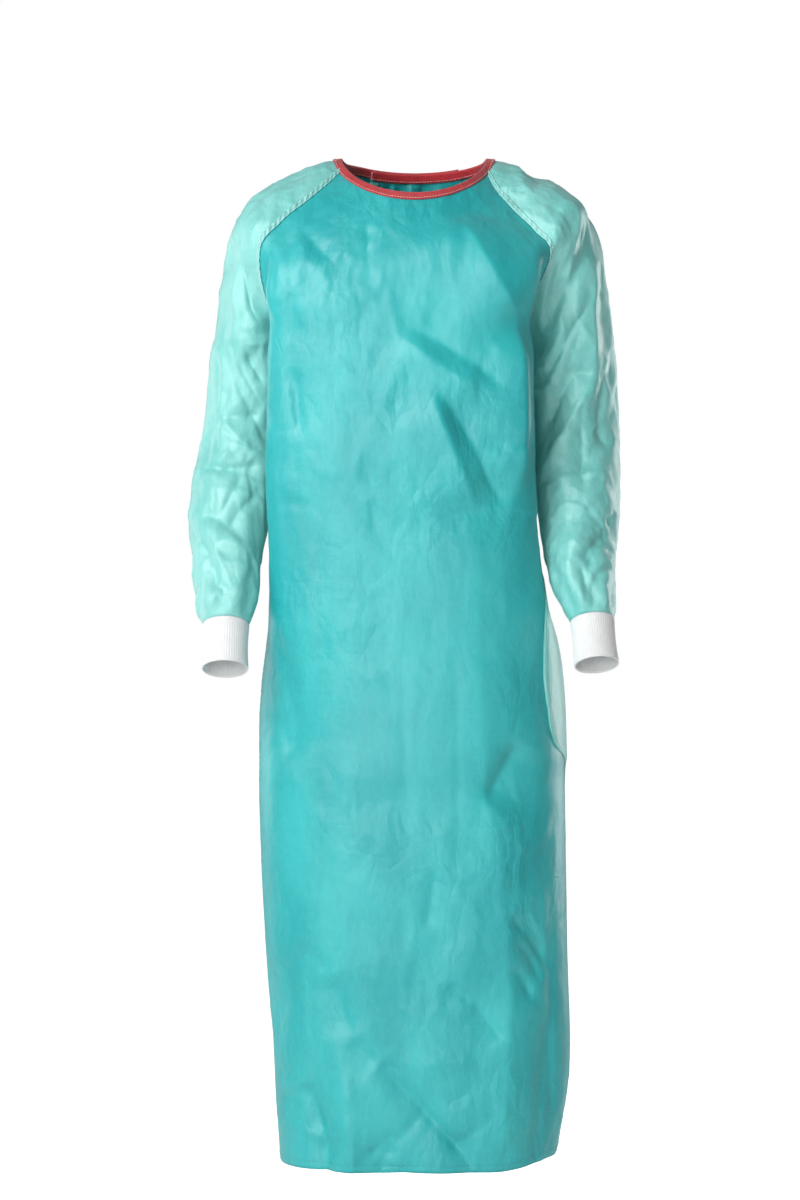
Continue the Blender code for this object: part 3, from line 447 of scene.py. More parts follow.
def cloth_object(name, grid, material, closed_from=None, thick=CLOTH, inner=None):
    """A thin shell of cloth through the points of a grid, with another finish on its inner side where
    one is given. Its UV map is in metres of cloth."""
    rows, columns = grid.shape[:2]
    index = np.arange(rows * columns).reshape(rows, columns)
    if closed_from is not None:
        index[closed_from:, -1] = index[closed_from:, 0]
    used = np.unique(index)
    places = np.searchsorted(used, index)
    a, b = places[:-1, :-1], places[:-1, 1:]
    c, d = places[1:, 1:], places[1:, :-1]
    faces = np.stack([a, d, c, b], axis=-1).reshape(-1, 4)
    mesh = bpy.data.meshes.new(name)
    mesh.from_pydata(grid.reshape(-1, 3)[used].tolist(), [], faces.tolist())
    across = np.array([lengths_along(line) for line in grid])
    down = np.array([lengths_along(line) for line in grid.transpose(1, 0, 2)]).T
    flat = np.stack([across - across[:, -1:] / 2, down], axis=-1)
    corners = (flat[:-1, :-1], flat[1:, :-1], flat[1:, 1:], flat[:-1, 1:])
    layer = mesh.uv_layers.new(name="cloth")
    layer.data.foreach_set("uv", np.stack(corners, axis=2).reshape(-1))
    mesh.shade_smooth()
    mesh.materials.append(material)
    made = bpy.data.objects.new(name, mesh)
    bpy.context.scene.collection.objects.link(made)
    if thick:
        shell = made.modifiers.new("thickness", "SOLIDIFY")
        shell.thickness = thick
        shell.offset = 0
        if inner:
            mesh.materials.append(inner)
            shell.material_offset = 1
    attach(made, "root")
    return made


def add_node(material, kind, settings=(), **inputs):
    """A node of a material, with its settings and the values or links of its inputs."""
    made = material.node_tree.nodes.new(kind)
    for name, value in dict(settings).items():
        setattr(made, name, value)
    for name, value in inputs.items():
        socket = made.inputs[name.replace("_", " ")]
        if isinstance(value, bpy.types.NodeSocket):
            material.node_tree.links.new(value, socket)
        else:
            socket.default_value = value
    return made


def woven_cloth(name, light, dark, roughness, gloss, crinkle, coat=0.0):
    """Polyester cloth: a fine weave, small crinkles, and colour that wanders a little, as washed cloth
    does. Light and dark are the two ends of that colour."""
    made = bpy.data.materials.new(name)
    made.use_nodes = True
    link = made.node_tree.links.new
    shader = made.node_tree.nodes["Principled BSDF"]
    where = add_node(made, "ShaderNodeTexCoord")
    longer = add_node(made, "ShaderNodeVectorMath", {"operation": "MULTIPLY"})
    link(where.outputs["Object"], longer.inputs[0])
    longer.inputs[1].default_value = (1.0, 1.0, 0.45)
    shorter = add_node(made, "ShaderNodeVectorMath", {"operation": "MULTIPLY"})
    link(where.outputs["Object"], shorter.inputs[0])
    shorter.inputs[1].default_value = (0.5, 0.5, 2.0)
    wide = add_node(made, "ShaderNodeTexNoise", Vector=longer.outputs["Vector"], Scale=16.0, Detail=5.0)
    fine = add_node(made, "ShaderNodeTexNoise", Vector=longer.outputs["Vector"], Scale=260.0, Detail=4.0)
    both = add_node(made, "ShaderNodeMath", {"operation": "MULTIPLY_ADD"})
    link(fine.outputs["Fac"], both.inputs[0])
    both.inputs[1].default_value = 0.35
    link(wide.outputs["Fac"], both.inputs[2])
    ramp = add_node(made, "ShaderNodeValToRGB", Fac=both.outputs["Value"])
    ramp.color_ramp.elements[0].position = 0.52
    ramp.color_ramp.elements[0].color = (*dark, 1)
    ramp.color_ramp.elements[1].position = 0.82
    ramp.color_ramp.elements[1].color = (*light, 1)
    link(ramp.outputs["Color"], shader.inputs["Base Color"])
    warp_by = add_node(made, "ShaderNodeTexNoise", Vector=where.outputs["Object"], Scale=14.0)
    warped = add_node(made, "ShaderNodeVectorMath", {"operation": "MULTIPLY_ADD"})
    link(warp_by.outputs["Color"], warped.inputs[0])
    warped.inputs[1].default_value = (0.05, 0.05, 0.05)
    link(longer.outputs["Vector"], warped.inputs[2])
    to_edge = {"feature": "DISTANCE_TO_EDGE"}
    facets = add_node(made, "ShaderNodeTexVoronoi", to_edge, Vector=warped.outputs["Vector"], Scale=34.0)
    small = add_node(made, "ShaderNodeTexVoronoi", to_edge, Vector=warped.outputs["Vector"], Scale=95.0)
    crushed = add_node(made, "ShaderNodeMath", {"operation": "MULTIPLY_ADD"})
    link(small.outputs["Distance"], crushed.inputs[0])
    crushed.inputs[1].default_value = 0.22
    link(facets.outputs["Distance"], crushed.inputs[2])
    cross = add_node(made, "ShaderNodeTexNoise", Vector=shorter.outputs["Vector"], Scale=70.0, Detail=2.0)
    wrinkled = add_node(made, "ShaderNodeMath", {"operation": "MULTIPLY_ADD"})
    link(cross.outputs["Fac"], wrinkled.inputs[0])
    wrinkled.inputs[1].default_value = 0.20
    link(crushed.outputs["Value"], wrinkled.inputs[2])
    calm = add_node(made, "ShaderNodeTexNoise", Vector=where.outputs["Object"], Scale=5.0, Detail=2.0)
    calm_to = add_node(made, "ShaderNodeMapRange", Value=calm.outputs["Fac"])
    calm_to.inputs["From Min"].default_value = 0.40
    calm_to.inputs["From Max"].default_value = 0.62
    calm_to.inputs["To Min"].default_value = 0.25 * crinkle
    calm_to.inputs["To Max"].default_value = crinkle
    warp = add_node(
        made, "ShaderNodeTexWave", {"bands_direction": "X"}, Vector=where.outputs["UV"], Scale=420.0
    )
    weft = add_node(
        made, "ShaderNodeTexWave", {"bands_direction": "Y"}, Vector=where.outputs["UV"], Scale=420.0
    )
    weave = add_node(made, "ShaderNodeMath", {"operation": "MULTIPLY"})
    link(warp.outputs["Fac"], weave.inputs[0])
    link(weft.outputs["Fac"], weave.inputs[1])
    crinkles = add_node(
        made,
        "ShaderNodeBump",
        Height=wrinkled.outputs["Value"],
        Strength=calm_to.outputs["Result"],
        Distance=0.006,
    )
    threads = add_node(
        made,
        "ShaderNodeBump",
        Height=weave.outputs["Value"],
        Strength=0.12,
        Distance=0.0003,
        Normal=crinkles.outputs["Normal"],
    )
    link(threads.outputs["Normal"], shader.inputs["Normal"])
    shader.inputs["Roughness"].default_value = roughness
    shader.inputs["Specular IOR Level"].default_value = gloss
    shader.inputs["Sheen Weight"].default_value = 0.08
    shader.inputs["Sheen Roughness"].default_value = 0.5
    shader.inputs["Coat Weight"].default_value = coat
    shader.inputs["Coat Roughness"].default_value = 0.35
    return made


def eased(grid, reach=0.030):
    """The grid with the bend at the level of the armpits eased, away from the seams that end there."""
    held = held_back(grid, ("first", "last"), reach)
    near = np.clip(1 - np.abs(np.arange(len(grid)) - CAP_ROWS) / 16, 0, 1)
    share = (held * smooth(near)[:, None])[..., None]
    for _ in range(60):
        middle = (grid[:-2] + grid[2:]) / 2
        grid[1:-1] += 0.5 * share[1:-1] * (middle - grid[1:-1])
    return grid


def hem_shape(grid):
    """The hem isn't level: it rises a little at the left side."""
    down = -grid[..., 2]
    rise = HEM_RISE_RIGHT * smooth((grid[..., 0] - 0.10) / 0.09) * smooth((down - 1.0) / 0.27)
    grid[..., 2] += rise
    return grid


TEAL_LIGHT = (0.024, 0.480, 0.490)
TEAL_DARK = (0.006, 0.390, 0.410)
teal_cloth = woven_cloth("teal_cloth", TEAL_LIGHT, TEAL_DARK, 0.45, 0.8, 0.45)

front_lines = [evenly(front_line(row), FRONT_COLUMNS) for row in range(CAP_ROWS + BODY_ROWS + 1)]
front_grid = eased(hem_shape(np.array(front_lines)))
front_normals = normals_of(front_grid)
front_moved = panel_relief(front_grid, front_normals)
front_moved *= held_back(front_grid, ("first", "last", "top"), SEAM_HOLD)
front_grid = front_grid + front_moved[..., None] * front_normals

front_cloth = cloth_object("front_cloth", front_grid, teal_cloth)
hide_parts("front_panel")


# The sleeves
# Raglan sleeves of a smoother mint laminate. Each is one piece, sewn to the front and to the back from
# the neck to the armpit, closed into a tube along the inner arm and gathered into its cuff.

ARM_ROWS = 156
SLEEVE_COLUMNS = 136
SLEEVE_CLOTH = 0.0007
CAP_SHARE = 0.45
BACK_SEAM_AT = math.radians(108)
# The sleeve from the armpit to the cuff: its inner and outer sides, its half depth, and how far
# its rings lean forward
Arm = namedtuple("Arm", "along inner_x inner_y inner_down outer_x outer_y outer_down depth lean")
ARM_RIGHT = (
    Arm(0.00, 0.1670, 0.005, 0.235, 0.2440, 0.000, 0.145, 0.0620, 0),
    Arm(0.12, 0.1665, 0.008, 0.272, 0.2540, 0.004, 0.200, 0.0600, 0),
    Arm(0.26, 0.1655, 0.012, 0.318, 0.2610, 0.010, 0.262, 0.0580, 2),
    Arm(0.42, 0.1670, 0.010, 0.372, 0.2680, 0.010, 0.340, 0.0570, 8),
    Arm(0.56, 0.1730, -0.006, 0.420, 0.2800, -0.006, 0.402, 0.0560, 18),
    Arm(0.70, 0.1850, -0.031, 0.470, 0.2860, -0.031, 0.462, 0.0530, 25),
    Arm(0.82, 0.1940, -0.058, 0.518, 0.2800, -0.058, 0.514, 0.0470, 27),
    Arm(0.91, 0.1950, -0.078, 0.553, 0.2745, -0.078, 0.551, 0.0420, 26),
    Arm(0.97, 0.2010, -0.093, 0.579, 0.2690, -0.093, 0.578, 0.0360, 25),
    Arm(1.00, 0.2070, -0.1005, 0.594, 0.2630, -0.1005, 0.594, 0.0270, 25),
)
ARM_LEFT = (
    Arm(0.00, 0.1544, 0.005, 0.235, 0.2460, 0.000, 0.145, 0.0620, 0),
    Arm(0.12, 0.1460, 0.008, 0.272, 0.2520, 0.004, 0.200, 0.0590, 0),
    Arm(0.26, 0.1460, 0.012, 0.318, 0.2590, 0.010, 0.272, 0.0570, 2),
    Arm(0.42, 0.1500, 0.010, 0.372, 0.2620, 0.010, 0.346, 0.0560, 8),
    Arm(0.56, 0.1530, -0.006, 0.420, 0.2615, -0.006, 0.404, 0.0550, 18),
    Arm(0.70, 0.1600, -0.031, 0.470, 0.2590, -0.031, 0.462, 0.0520, 25),
    Arm(0.82, 0.1670, -0.058, 0.518, 0.2520, -0.058, 0.514, 0.0460, 27),
    Arm(0.91, 0.1750, -0.078, 0.551, 0.2490, -0.078, 0.549, 0.0410, 26),
    Arm(0.97, 0.1880, -0.093, 0.576, 0.2490, -0.093, 0.574, 0.0350, 25),
    Arm(1.00, 0.1950, -0.1005, 0.591, 0.2485, -0.1005, 0.587, 0.0260, 25),
)

# Large folds of a sleeve: where they start and end along the arm and round it, in turns from the
# armpit line by way of the front
SleeveFold = namedtuple("SleeveFold", "along1 turn1 along2 turn2 width height")
SLEEVE_FOLDS_RIGHT = (
    SleeveFold(-0.35, 0.30, 0.10, 0.20, 0.016, -0.0033),
    SleeveFold(-0.25, 0.42, 0.45, 0.36, 0.016, -0.0030),
    SleeveFold(-0.10, 0.36, 0.42, 0.28, 0.016, 0.0030),
    SleeveFold(0.22, 0.34, 0.48, 0.10, 0.014, -0.0039),
    SleeveFold(0.46, 0.34, 0.52, 0.08, 0.015, 0.0039),
    SleeveFold(0.56, 0.42, 0.58, 0.06, 0.014, -0.0044),
    SleeveFold(0.64, 0.30, 0.66, 0.06, 0.015, 0.0039),
    SleeveFold(0.70, 0.40, 0.80, 0.14, 0.014, -0.0041),
    SleeveFold(0.86, 0.34, 0.88, 0.10, 0.014, 0.0030),
    SleeveFold(0.20, 0.62, 0.50, 0.84, 0.016, -0.0039),
    SleeveFold(0.48, 0.60, 0.54, 0.92, 0.016, 0.0039),
    SleeveFold(0.64, 0.58, 0.66, 0.90, 0.014, -0.0039),
    SleeveFold(0.80, 0.56, 0.78, 0.86, 0.014, 0.0033),
)
SLEEVE_FOLDS_LEFT = (
    SleeveFold(-0.25, 0.28, 0.20, 0.16, 0.015, 0.0033),
    SleeveFold(-0.30, 0.40, 0.40, 0.42, 0.016, -0.0033),
    SleeveFold(0.00, 0.34, 0.44, 0.10, 0.015, -0.0044),
    SleeveFold(0.20, 0.38, 0.56, 0.14, 0.015, 0.0041),
    SleeveFold(0.34, 0.44, 0.64, 0.20, 0.014, -0.0041),
    SleeveFold(0.58, 0.42, 0.60, 0.08, 0.014, 0.0039),
    SleeveFold(0.68, 0.44, 0.90, 0.26, 0.014, -0.0044),
    SleeveFold(0.72, 0.28, 0.94, 0.14, 0.014, 0.0033),
    SleeveFold(0.84, 0.48, 0.92, 0.34, 0.014, 0.0033),
    SleeveFold(0.16, 0.60, 0.46, 0.86, 0.016, 0.0039),
    SleeveFold(0.44, 0.58, 0.52, 0.90, 0.015, -0.0041),
    SleeveFold(0.60, 0.62, 0.64, 0.92, 0.015, 0.0036),
    SleeveFold(0.76, 0.58, 0.78, 0.88, 0.014, -0.0036),
)
GATHERS = 6
GATHER_HEIGHT = 0.0030
GATHER_FROM = 0.80

SLEEVE_CREASES_RIGHT = (
    Crease(-0.231, 0.086, -0.217, 0.242, 0.001, 0.007, 0.016, -0.0050),
    Crease(-0.217, 0.161, -0.205, 0.148, 0.000, 0.005, 0.008, -0.0030),
    Crease(-0.249, 0.207, -0.191, 0.317, -0.004, 0.014, 0.009, -0.0045),
    Crease(-0.218, 0.249, -0.189, 0.244, 0.000, 0.006, 0.010, -0.0030),
    Crease(-0.218, 0.250, -0.188, 0.292, 0.002, 0.010, 0.006, -0.0055),
    Crease(-0.242, 0.332, -0.188, 0.328, 0.000, 0.006, 0.012, -0.0060),
    Crease(-0.242, 0.335, -0.218, 0.364, 0.000, 0.010, 0.006, 0.0045),
    Crease(-0.218, 0.366, -0.255, 0.395, 0.000, 0.008, 0.008, 0.0045),
    Crease(-0.255, 0.397, -0.188, 0.392, 0.000, 0.006, 0.012, -0.0070),
    Crease(-0.212, 0.400, -0.256, 0.471, 0.000, 0.010, 0.007, -0.0055),
    Crease(-0.192, 0.418, -0.237, 0.476, 0.000, 0.012, 0.006, -0.0060),
    Crease(-0.237, 0.476, -0.207, 0.515, 0.000, 0.008, 0.010, 0.0040),
    Crease(-0.278, 0.477, -0.255, 0.515, 0.000, 0.006, 0.010, -0.0050),
    Crease(-0.255, 0.509, -0.254, 0.566, 0.004, 0.006, 0.010, -0.0045),
    Crease(-0.235, 0.542, -0.216, 0.591, 0.003, 0.010, 0.006, -0.0060),
    Crease(-0.242, 0.552, -0.234, 0.542, 0.000, 0.004, 0.006, -0.0030),
    Crease(-0.263, 0.335, -0.265, 0.412, 0.000, 0.008, 0.012, -0.0040),
)
SLEEVE_CREASES_LEFT = (
    Crease(0.201, 0.057, 0.175, 0.128, -0.006, 0.006, 0.010, 0.0050),
    Crease(0.175, 0.128, 0.158, 0.223, 0.000, 0.006, 0.010, 0.0055),
    Crease(0.182, 0.137, 0.160, 0.229, 0.001, 0.008, 0.006, -0.0065),
    Crease(0.230, 0.109, 0.227, 0.277, 0.000, 0.007, 0.012, 0.0065),
    Crease(0.229, 0.109, 0.161, 0.229, -0.003, 0.012, 0.007, -0.0065),
    Crease(0.227, 0.185, 0.160, 0.296, -0.004, 0.010, 0.006, -0.0065),
    Crease(0.222, 0.201, 0.165, 0.305, -0.003, 0.008, 0.008, 0.0040),
    Crease(0.186, 0.216, 0.209, 0.207, 0.002, 0.004, 0.006, -0.0030),
    Crease(0.190, 0.276, 0.227, 0.277, 0.002, 0.005, 0.010, -0.0050),
    Crease(0.227, 0.278, 0.160, 0.412, 0.000, 0.010, 0.006, 0.0065),
    Crease(0.209, 0.305, 0.213, 0.437, 0.001, 0.006, 0.010, -0.0055),
    Crease(0.199, 0.279, 0.160, 0.349, 0.000, 0.007, 0.007, -0.0060),
    Crease(0.244, 0.260, 0.234, 0.351, 0.000, 0.006, 0.010, -0.0060),
    Crease(0.228, 0.345, 0.249, 0.369, 0.002, 0.006, 0.010, -0.0065),
    Crease(0.160, 0.409, 0.184, 0.422, 0.002, 0.005, 0.008, -0.0050),
    Crease(0.175, 0.427, 0.175, 0.494, 0.000, 0.006, 0.010, -0.0040),
    Crease(0.213, 0.443, 0.242, 0.472, 0.000, 0.008, 0.006, -0.0055),
    Crease(0.242, 0.472, 0.248, 0.513, 0.000, 0.006, 0.008, -0.0050),
    Crease(0.234, 0.481, 0.205, 0.513, 0.000, 0.008, 0.006, -0.0060),
    Crease(0.205, 0.513, 0.213, 0.576, 0.002, 0.006, 0.010, -0.0050),
    Crease(0.247, 0.519, 0.222, 0.538, 0.000, 0.008, 0.006, -0.0050),
    Crease(0.222, 0.538, 0.219, 0.576, 0.000, 0.006, 0.008, -0.0040),
    Crease(0.166, 0.494, 0.185, 0.576, 0.000, 0.006, 0.010, -0.0035),
)
SLEEVE_CREASES_BEHIND = (
    Crease(0.230, 0.100, 0.180, 0.230, 0.004, 0.010, 0.018, -0.0065),
    Crease(0.180, 0.240, 0.245, 0.330, 0.003, 0.009, 0.016, -0.0070),
    Crease(0.250, 0.320, 0.170, 0.380, 0.002, 0.009, 0.016, -0.0070),
    Crease(0.170, 0.400, 0.255, 0.420, 0.003, 0.008, 0.014, -0.0065),
    Crease(0.250, 0.450, 0.185, 0.500, 0.002, 0.008, 0.014, -0.0060),
    Crease(0.200, 0.510, 0.240, 0.560, 0.002, 0.007, 0.012, -0.0050),
)


def arm_point(at, sign, side):
    """The point of a sleeve's ring on its inner or its outer side."""
    if side == "inner":
        return np.array([sign * at.inner_x, at.inner_y, -at.inner_down])
    return np.array([sign * at.outer_x, at.outer_y, -at.outer_down])


def sleeve_line(cap, arm, sign, row):
    """One line round a sleeve, drawn as an arc. Over the shoulder it is open, from the front seam to the
    back one. Below the armpit it is a closed ring, which starts and ends on the armpit line."""
    if row == 0:
        return neck_line(np.linspace(FRONT_SEAM_AT, BACK_SEAM_AT, 2 * FINE + 1) * sign)
    outward = np.array([sign, 0.0, 0.0])
    top = arm[0]
    tall = np.linalg.norm(arm_point(top, sign, "outer") - arm_point(top, sign, "inner"))
    stretch = 2 * top.depth / tall
    if row <= CAP_ROWS:
        along = cap_along(row)
        at = row_at(cap, along)
        near_armpit = smooth((along - 0.75) / 0.25)
        pull = ARMPIT_PULL * near_armpit
        stretch = 1 + (stretch - 1) * near_armpit
        front = np.array([sign * at.front_x, at.front_y, -at.front_down])
        back = np.array([sign * at.back_x, at.back_y, -at.back_down])
        outer = np.array([sign * at.ridge_x, 0.0, -at.ridge_down])
        base = (front + back) / 2 + pull * outward
        half_chord = np.linalg.norm(front - back) / 2
        forward = (front - back) / (2 * half_chord) if half_chord > 1e-6 else np.array([0.0, -1.0, 0.0])
    else:
        at = row_at(arm, (row - CAP_ROWS) / ARM_ROWS)
        base, outer = arm_point(at, sign, "inner"), arm_point(at, sign, "outer")
        pull = ARMPIT_PULL * (1 - smooth((at.inner_down - top.inner_down) / PULL_BELOW))
        half_chord = 0.0
        lean = math.radians(at.lean)
        forward = np.array([0.0, -math.cos(lean), math.sin(lean)])
        stretch = 2 * at.depth / np.linalg.norm(outer - base)
    rise = np.linalg.norm(outer - base)
    up = (outer - base) / rise
    radius = ((half_chord / stretch) ** 2 + rise**2) / (2 * rise)
    start = math.asin(max(-1.0, min(1.0, (radius - rise) / radius)))
    turn = np.linspace(start, math.pi - start, 2 * FINE + 1)[:, None]
    line = outer - radius * up + radius * (stretch * np.cos(turn) * forward + np.sin(turn) * up)
    lengths = lengths_along(line)
    to_end = np.minimum(lengths, lengths[-1] - lengths)
    return line - (pull * peak(to_end / PULL_SPREAD))[:, None] * outward


def arm_along(row):
    """Where a row of a sleeve lies: 0 at the armpit, 1 at the cuff and less than 0 on the shoulder."""
    if row <= CAP_ROWS:
        return (cap_along(row) - 1) * CAP_SHARE
    return (row - CAP_ROWS) / ARM_ROWS


def sleeve_folds(folds, grid):
    """How far its folds and the gathers above the cuff move each point of a sleeve out."""
    rows, columns = grid.shape[:2]
    along = np.array([arm_along(row) for row in range(rows)])
    turn = np.linspace(0, 1, columns)
    length, girth = 0.50, 0.36
    here = np.stack(np.meshgrid(along * length, turn * girth, indexing="ij"), axis=-1)
    moved = np.zeros((rows, columns))
    for fold in folds:
        start = np.array([fold.along1 * length, fold.turn1 * girth])
        end = np.array([fold.along2 * length, fold.turn2 * girth])
        moved += ridge_height(here, start, end, fold.width, fold.height)
    inside = smooth(turn / 0.08) * smooth((1 - turn) / 0.08)
    ends = smooth((along + CAP_SHARE) / 0.12) * smooth((1 - along) / 0.10)
    gathered = smooth((along - GATHER_FROM) / 0.14) * smooth((1.0 - along) / 0.03)
    waves = GATHER_HEIGHT * np.sin(2 * math.pi * GATHERS * turn + 0.6)
    return moved * inside * ends[:, None] + gathered[:, None] * waves * inside



def mirrored(creases):
    """The creases of one arm as those of the other."""
    return [
        Crease(-c.x1, c.down1, -c.x2, c.down2, -c.bend, c.wide, c.narrow, c.height) for c in creases
    ]


def sleeve_grid(cap, arm, sign, folds, front_creases, back_creases):
    """The points of a sleeve with its folds. Its columns run so that the cloth faces out."""
    lines = [sleeve_line(cap, arm, sign, row) for row in range(CAP_ROWS + ARM_ROWS + 1)]
    grid = eased(np.array([evenly(line, SLEEVE_COLUMNS) for line in lines]), 0.020)
    moved = sleeve_folds(folds, grid)
    if sign < 0:
        grid, moved = grid[:, ::-1], moved[:, ::-1]
    normals = normals_of(grid, CAP_ROWS)
    creased = folds_and_creases(grid, normals, (), front_creases, (), back_creases)
    along = np.array([arm_along(row) for row in range(grid.shape[0])])
    ends = smooth((along + CAP_SHARE) / 0.08) * smooth((1 - along) / 0.08)
    creased += 0.0085 * crumple(grid, 0.055, 8.0 + sign)
    creased += 0.0022 * crumple(grid, 0.021, 14.0 + sign)
    turn = np.linspace(0, 1, grid.shape[1])
    inside = smooth(turn / 0.05) * smooth((1 - turn) / 0.05)
    moved = moved + creased * ends[:, None] * inside
    return grid + moved[..., None] * normals


MINT_LIGHT = (0.270, 0.680, 0.640)
MINT_DARK = (0.170, 0.590, 0.550)
sleeve_cloth = woven_cloth("mint_laminate", MINT_LIGHT, MINT_DARK, 0.46, 0.9, 0.50)

sleeves = {}
sleeve_grids = {}
for side, cap, arm, sign, folds, creases in (
    ("right", CAP_RIGHT, ARM_RIGHT, -1, SLEEVE_FOLDS_RIGHT, SLEEVE_CREASES_RIGHT),
    ("left", CAP_LEFT, ARM_LEFT, 1, SLEEVE_FOLDS_LEFT, SLEEVE_CREASES_LEFT),
):
    behind = SLEEVE_CREASES_BEHIND if sign > 0 else mirrored(SLEEVE_CREASES_BEHIND)
    grid = sleeve_grid(cap, arm, sign, folds, creases, behind)
    made = cloth_object(f"sleeve_{side}_cloth", grid, sleeve_cloth, CAP_ROWS, SLEEVE_CLOTH)
    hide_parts(f"sleeve_{side}")
    sleeves[side], sleeve_grids[side] = made, grid


# The back panels
# Two lengths of mint cloth, each sewn to one side of the front and to one sleeve. They lap over each
# other down the back, and the outer one comes round the wearer's left side as far as the front.

OUTER_COLUMNS = 132
UNDER_COLUMNS = 80
LAYER_STEP = 0.0050
LAYER_STEP_AT_NECK = 0.0056
EDGE_CLOSE = 0.70
EDGE_RISE = 0.045
FLAP_RISE = 0.05
# How far the back panels reach: 0 is the left side seam and 1 the right one, by length round the back
Lap = namedtuple("Lap", "down outer under")
NECK_LAP = Lap(0.0, 0.23, 0.76)
BODY_LAP = (
    Lap(0.235, 0.130, 0.780),
    Lap(0.340, 0.050, 0.780),
    Lap(0.430, -0.020, 0.780),
    Lap(0.500, -0.100, 0.780),
    Lap(0.545, -0.180, 0.780),
    Lap(0.570, -0.205, 0.780),
    Lap(0.620, -0.220, 0.780),
    Lap(0.660, -0.223, 0.780),
    Lap(0.700, -0.209, 0.780),
    Lap(0.735, -0.190, 0.780),
    Lap(0.750, -0.165, 0.780),
    Lap(0.762, -0.105, 0.780),
    Lap(0.775, -0.040, 0.780),
    Lap(0.800, -0.005, 0.780),
    Lap(0.880, 0.035, 0.780),
    Lap(1.080, 0.075, 0.780),
    Lap(1.272, 0.090, 0.780),
)

BACK_FOLDS = (
    Fold(-0.110, 0.200, -0.125, 0.560, 0.024, 0.0060),
    Fold(-0.065, 0.180, -0.080, 0.640, 0.022, -0.0070),
    Fold(-0.020, 0.240, -0.025, 0.700, 0.028, 0.0050),
    Fold(0.030, 0.200, 0.060, 0.620, 0.024, -0.0070),
    Fold(0.085, 0.260, 0.125, 0.560, 0.022, 0.0060),
    Fold(-0.130, 0.820, -0.120, 1.290, 0.026, -0.0090),
    Fold(-0.075, 0.760, -0.070, 1.300, 0.030, 0.0100),
    Fold(-0.015, 0.860, -0.020, 1.300, 0.028, -0.0100),
    Fold(0.045, 0.780, 0.045, 1.300, 0.030, 0.0090),
    Fold(0.105, 0.900, 0.105, 1.290, 0.024, -0.0090),
)
NECK_GATHERS = (
    Fold(-0.056, 0.020, -0.052, 0.120, 0.005, -0.0057),
    Fold(-0.034, 0.015, -0.036, 0.130, 0.005, 0.0088),
    Fold(-0.027, 0.010, -0.027, 0.110, 0.003, -0.0075),
    Fold(-0.020, 0.015, -0.016, 0.140, 0.004, 0.0079),
    Fold(-0.004, 0.010, -0.002, 0.150, 0.004, -0.0088),
    Fold(0.011, 0.015, 0.008, 0.120, 0.005, 0.0092),
    Fold(0.030, 0.020, 0.034, 0.130, 0.006, -0.0066),
    Fold(0.050, 0.020, 0.062, 0.120, 0.006, 0.0075),
)
BACK_CREASES = (
    Crease(-0.060, 0.080, -0.110, 0.260, 0.006, 0.012, 0.024, -0.0040),
    Crease(0.070, 0.090, 0.120, 0.280, -0.006, 0.020, 0.012, -0.0040),
    Crease(0.010, 0.300, 0.120, 0.520, 0.010, 0.010, 0.030, -0.0055),
    Crease(-0.120, 0.400, -0.020, 0.560, 0.010, 0.010, 0.026, -0.0050),
    Crease(-0.150, 0.560, -0.140, 0.800, 0.004, 0.010, 0.018, -0.0040),
    Crease(0.120, 0.600, 0.060, 0.860, 0.008, 0.010, 0.022, -0.0045),
    Crease(-0.040, 0.640, -0.100, 0.900, 0.008, 0.010, 0.022, -0.0045),
    Crease(0.140, 0.900, 0.130, 1.240, 0.006, 0.008, 0.016, -0.0045),
    Crease(-0.140, 0.980, -0.060, 1.230, 0.008, 0.008, 0.018, -0.0045),
    Crease(0.000, 0.960, 0.040, 1.180, 0.006, 0.008, 0.016, -0.0040),
)
FLAP_CREASES = (
    Crease(0.163, 0.560, 0.166, 0.720, 0.001, 0.004, 0.006, 0.0012),
    Crease(0.172, 0.682, 0.166, 0.740, 0.000, 0.004, 0.006, -0.0010),
    Crease(0.164, 0.690, 0.176, 0.740, 0.000, 0.004, 0.006, 0.0010),
)


def back_line(row):
    """One line across the whole back, from the left seam to the right one."""
    share = np.linspace(0, 1, 2 * FINE + 1)
    if row >= CAP_ROWS:
        down = body_down(row - CAP_ROWS)
        start = seam_angle(down)
        return body_line(down, start + share * (2 * math.pi - 2 * start))
    neck = neck_line(BACK_SEAM_AT + share * (2 * math.pi - 2 * BACK_SEAM_AT))
    if row == 0:
        return neck
    along = cap_along(row)
    right, left = cap_points(along)
    bottom = evenly(body_line(ARMPIT, math.pi / 2 + share * math.pi), 2 * FINE)
    middle = row_at(MIDDLES, along)
    centre = np.array([along * bottom[FINE, 0], middle.back_y, -middle.back_down])
    return yoke_line(along, evenly(neck, 2 * FINE), bottom, left[2], centre, right[2])


def lap_at(row):
    """How far both back panels reach at a row."""
    if row >= CAP_ROWS:
        return row_at(BODY_LAP, body_down(row - CAP_ROWS))
    share = smooth(cap_along(row))
    return Lap(*((1 - share) * np.array(NECK_LAP) + share * np.array(BODY_LAP[0])))


def part_of_back(row, start, end, columns):
    """The stretch of a back line between two shares of its length. A start below 0 runs on round the
    left side over the front panel."""
    line = back_line(row)
    length = lengths_along(line)[-1]
    if start < 0:
        down = body_down(row - CAP_ROWS)
        ahead = body_line(down, np.linspace(math.radians(20), seam_angle(down), FINE))
        reach = lengths_along(ahead)[-1]
        line = np.concatenate([ahead[:-1], line])
    else:
        reach = 0.0
    return points_at(line, reach + length * np.linspace(start, end, columns + 1))


def past_left_seam(grid):
    """How far past the left side seam each point of the outer panel lies, towards the front."""
    found = np.empty(grid.shape[:2])
    for i, line in enumerate(grid):
        lengths = lengths_along(line)
        found[i] = lengths[-1] - lengths - lengths_along(back_line(i))[-1]
    return found


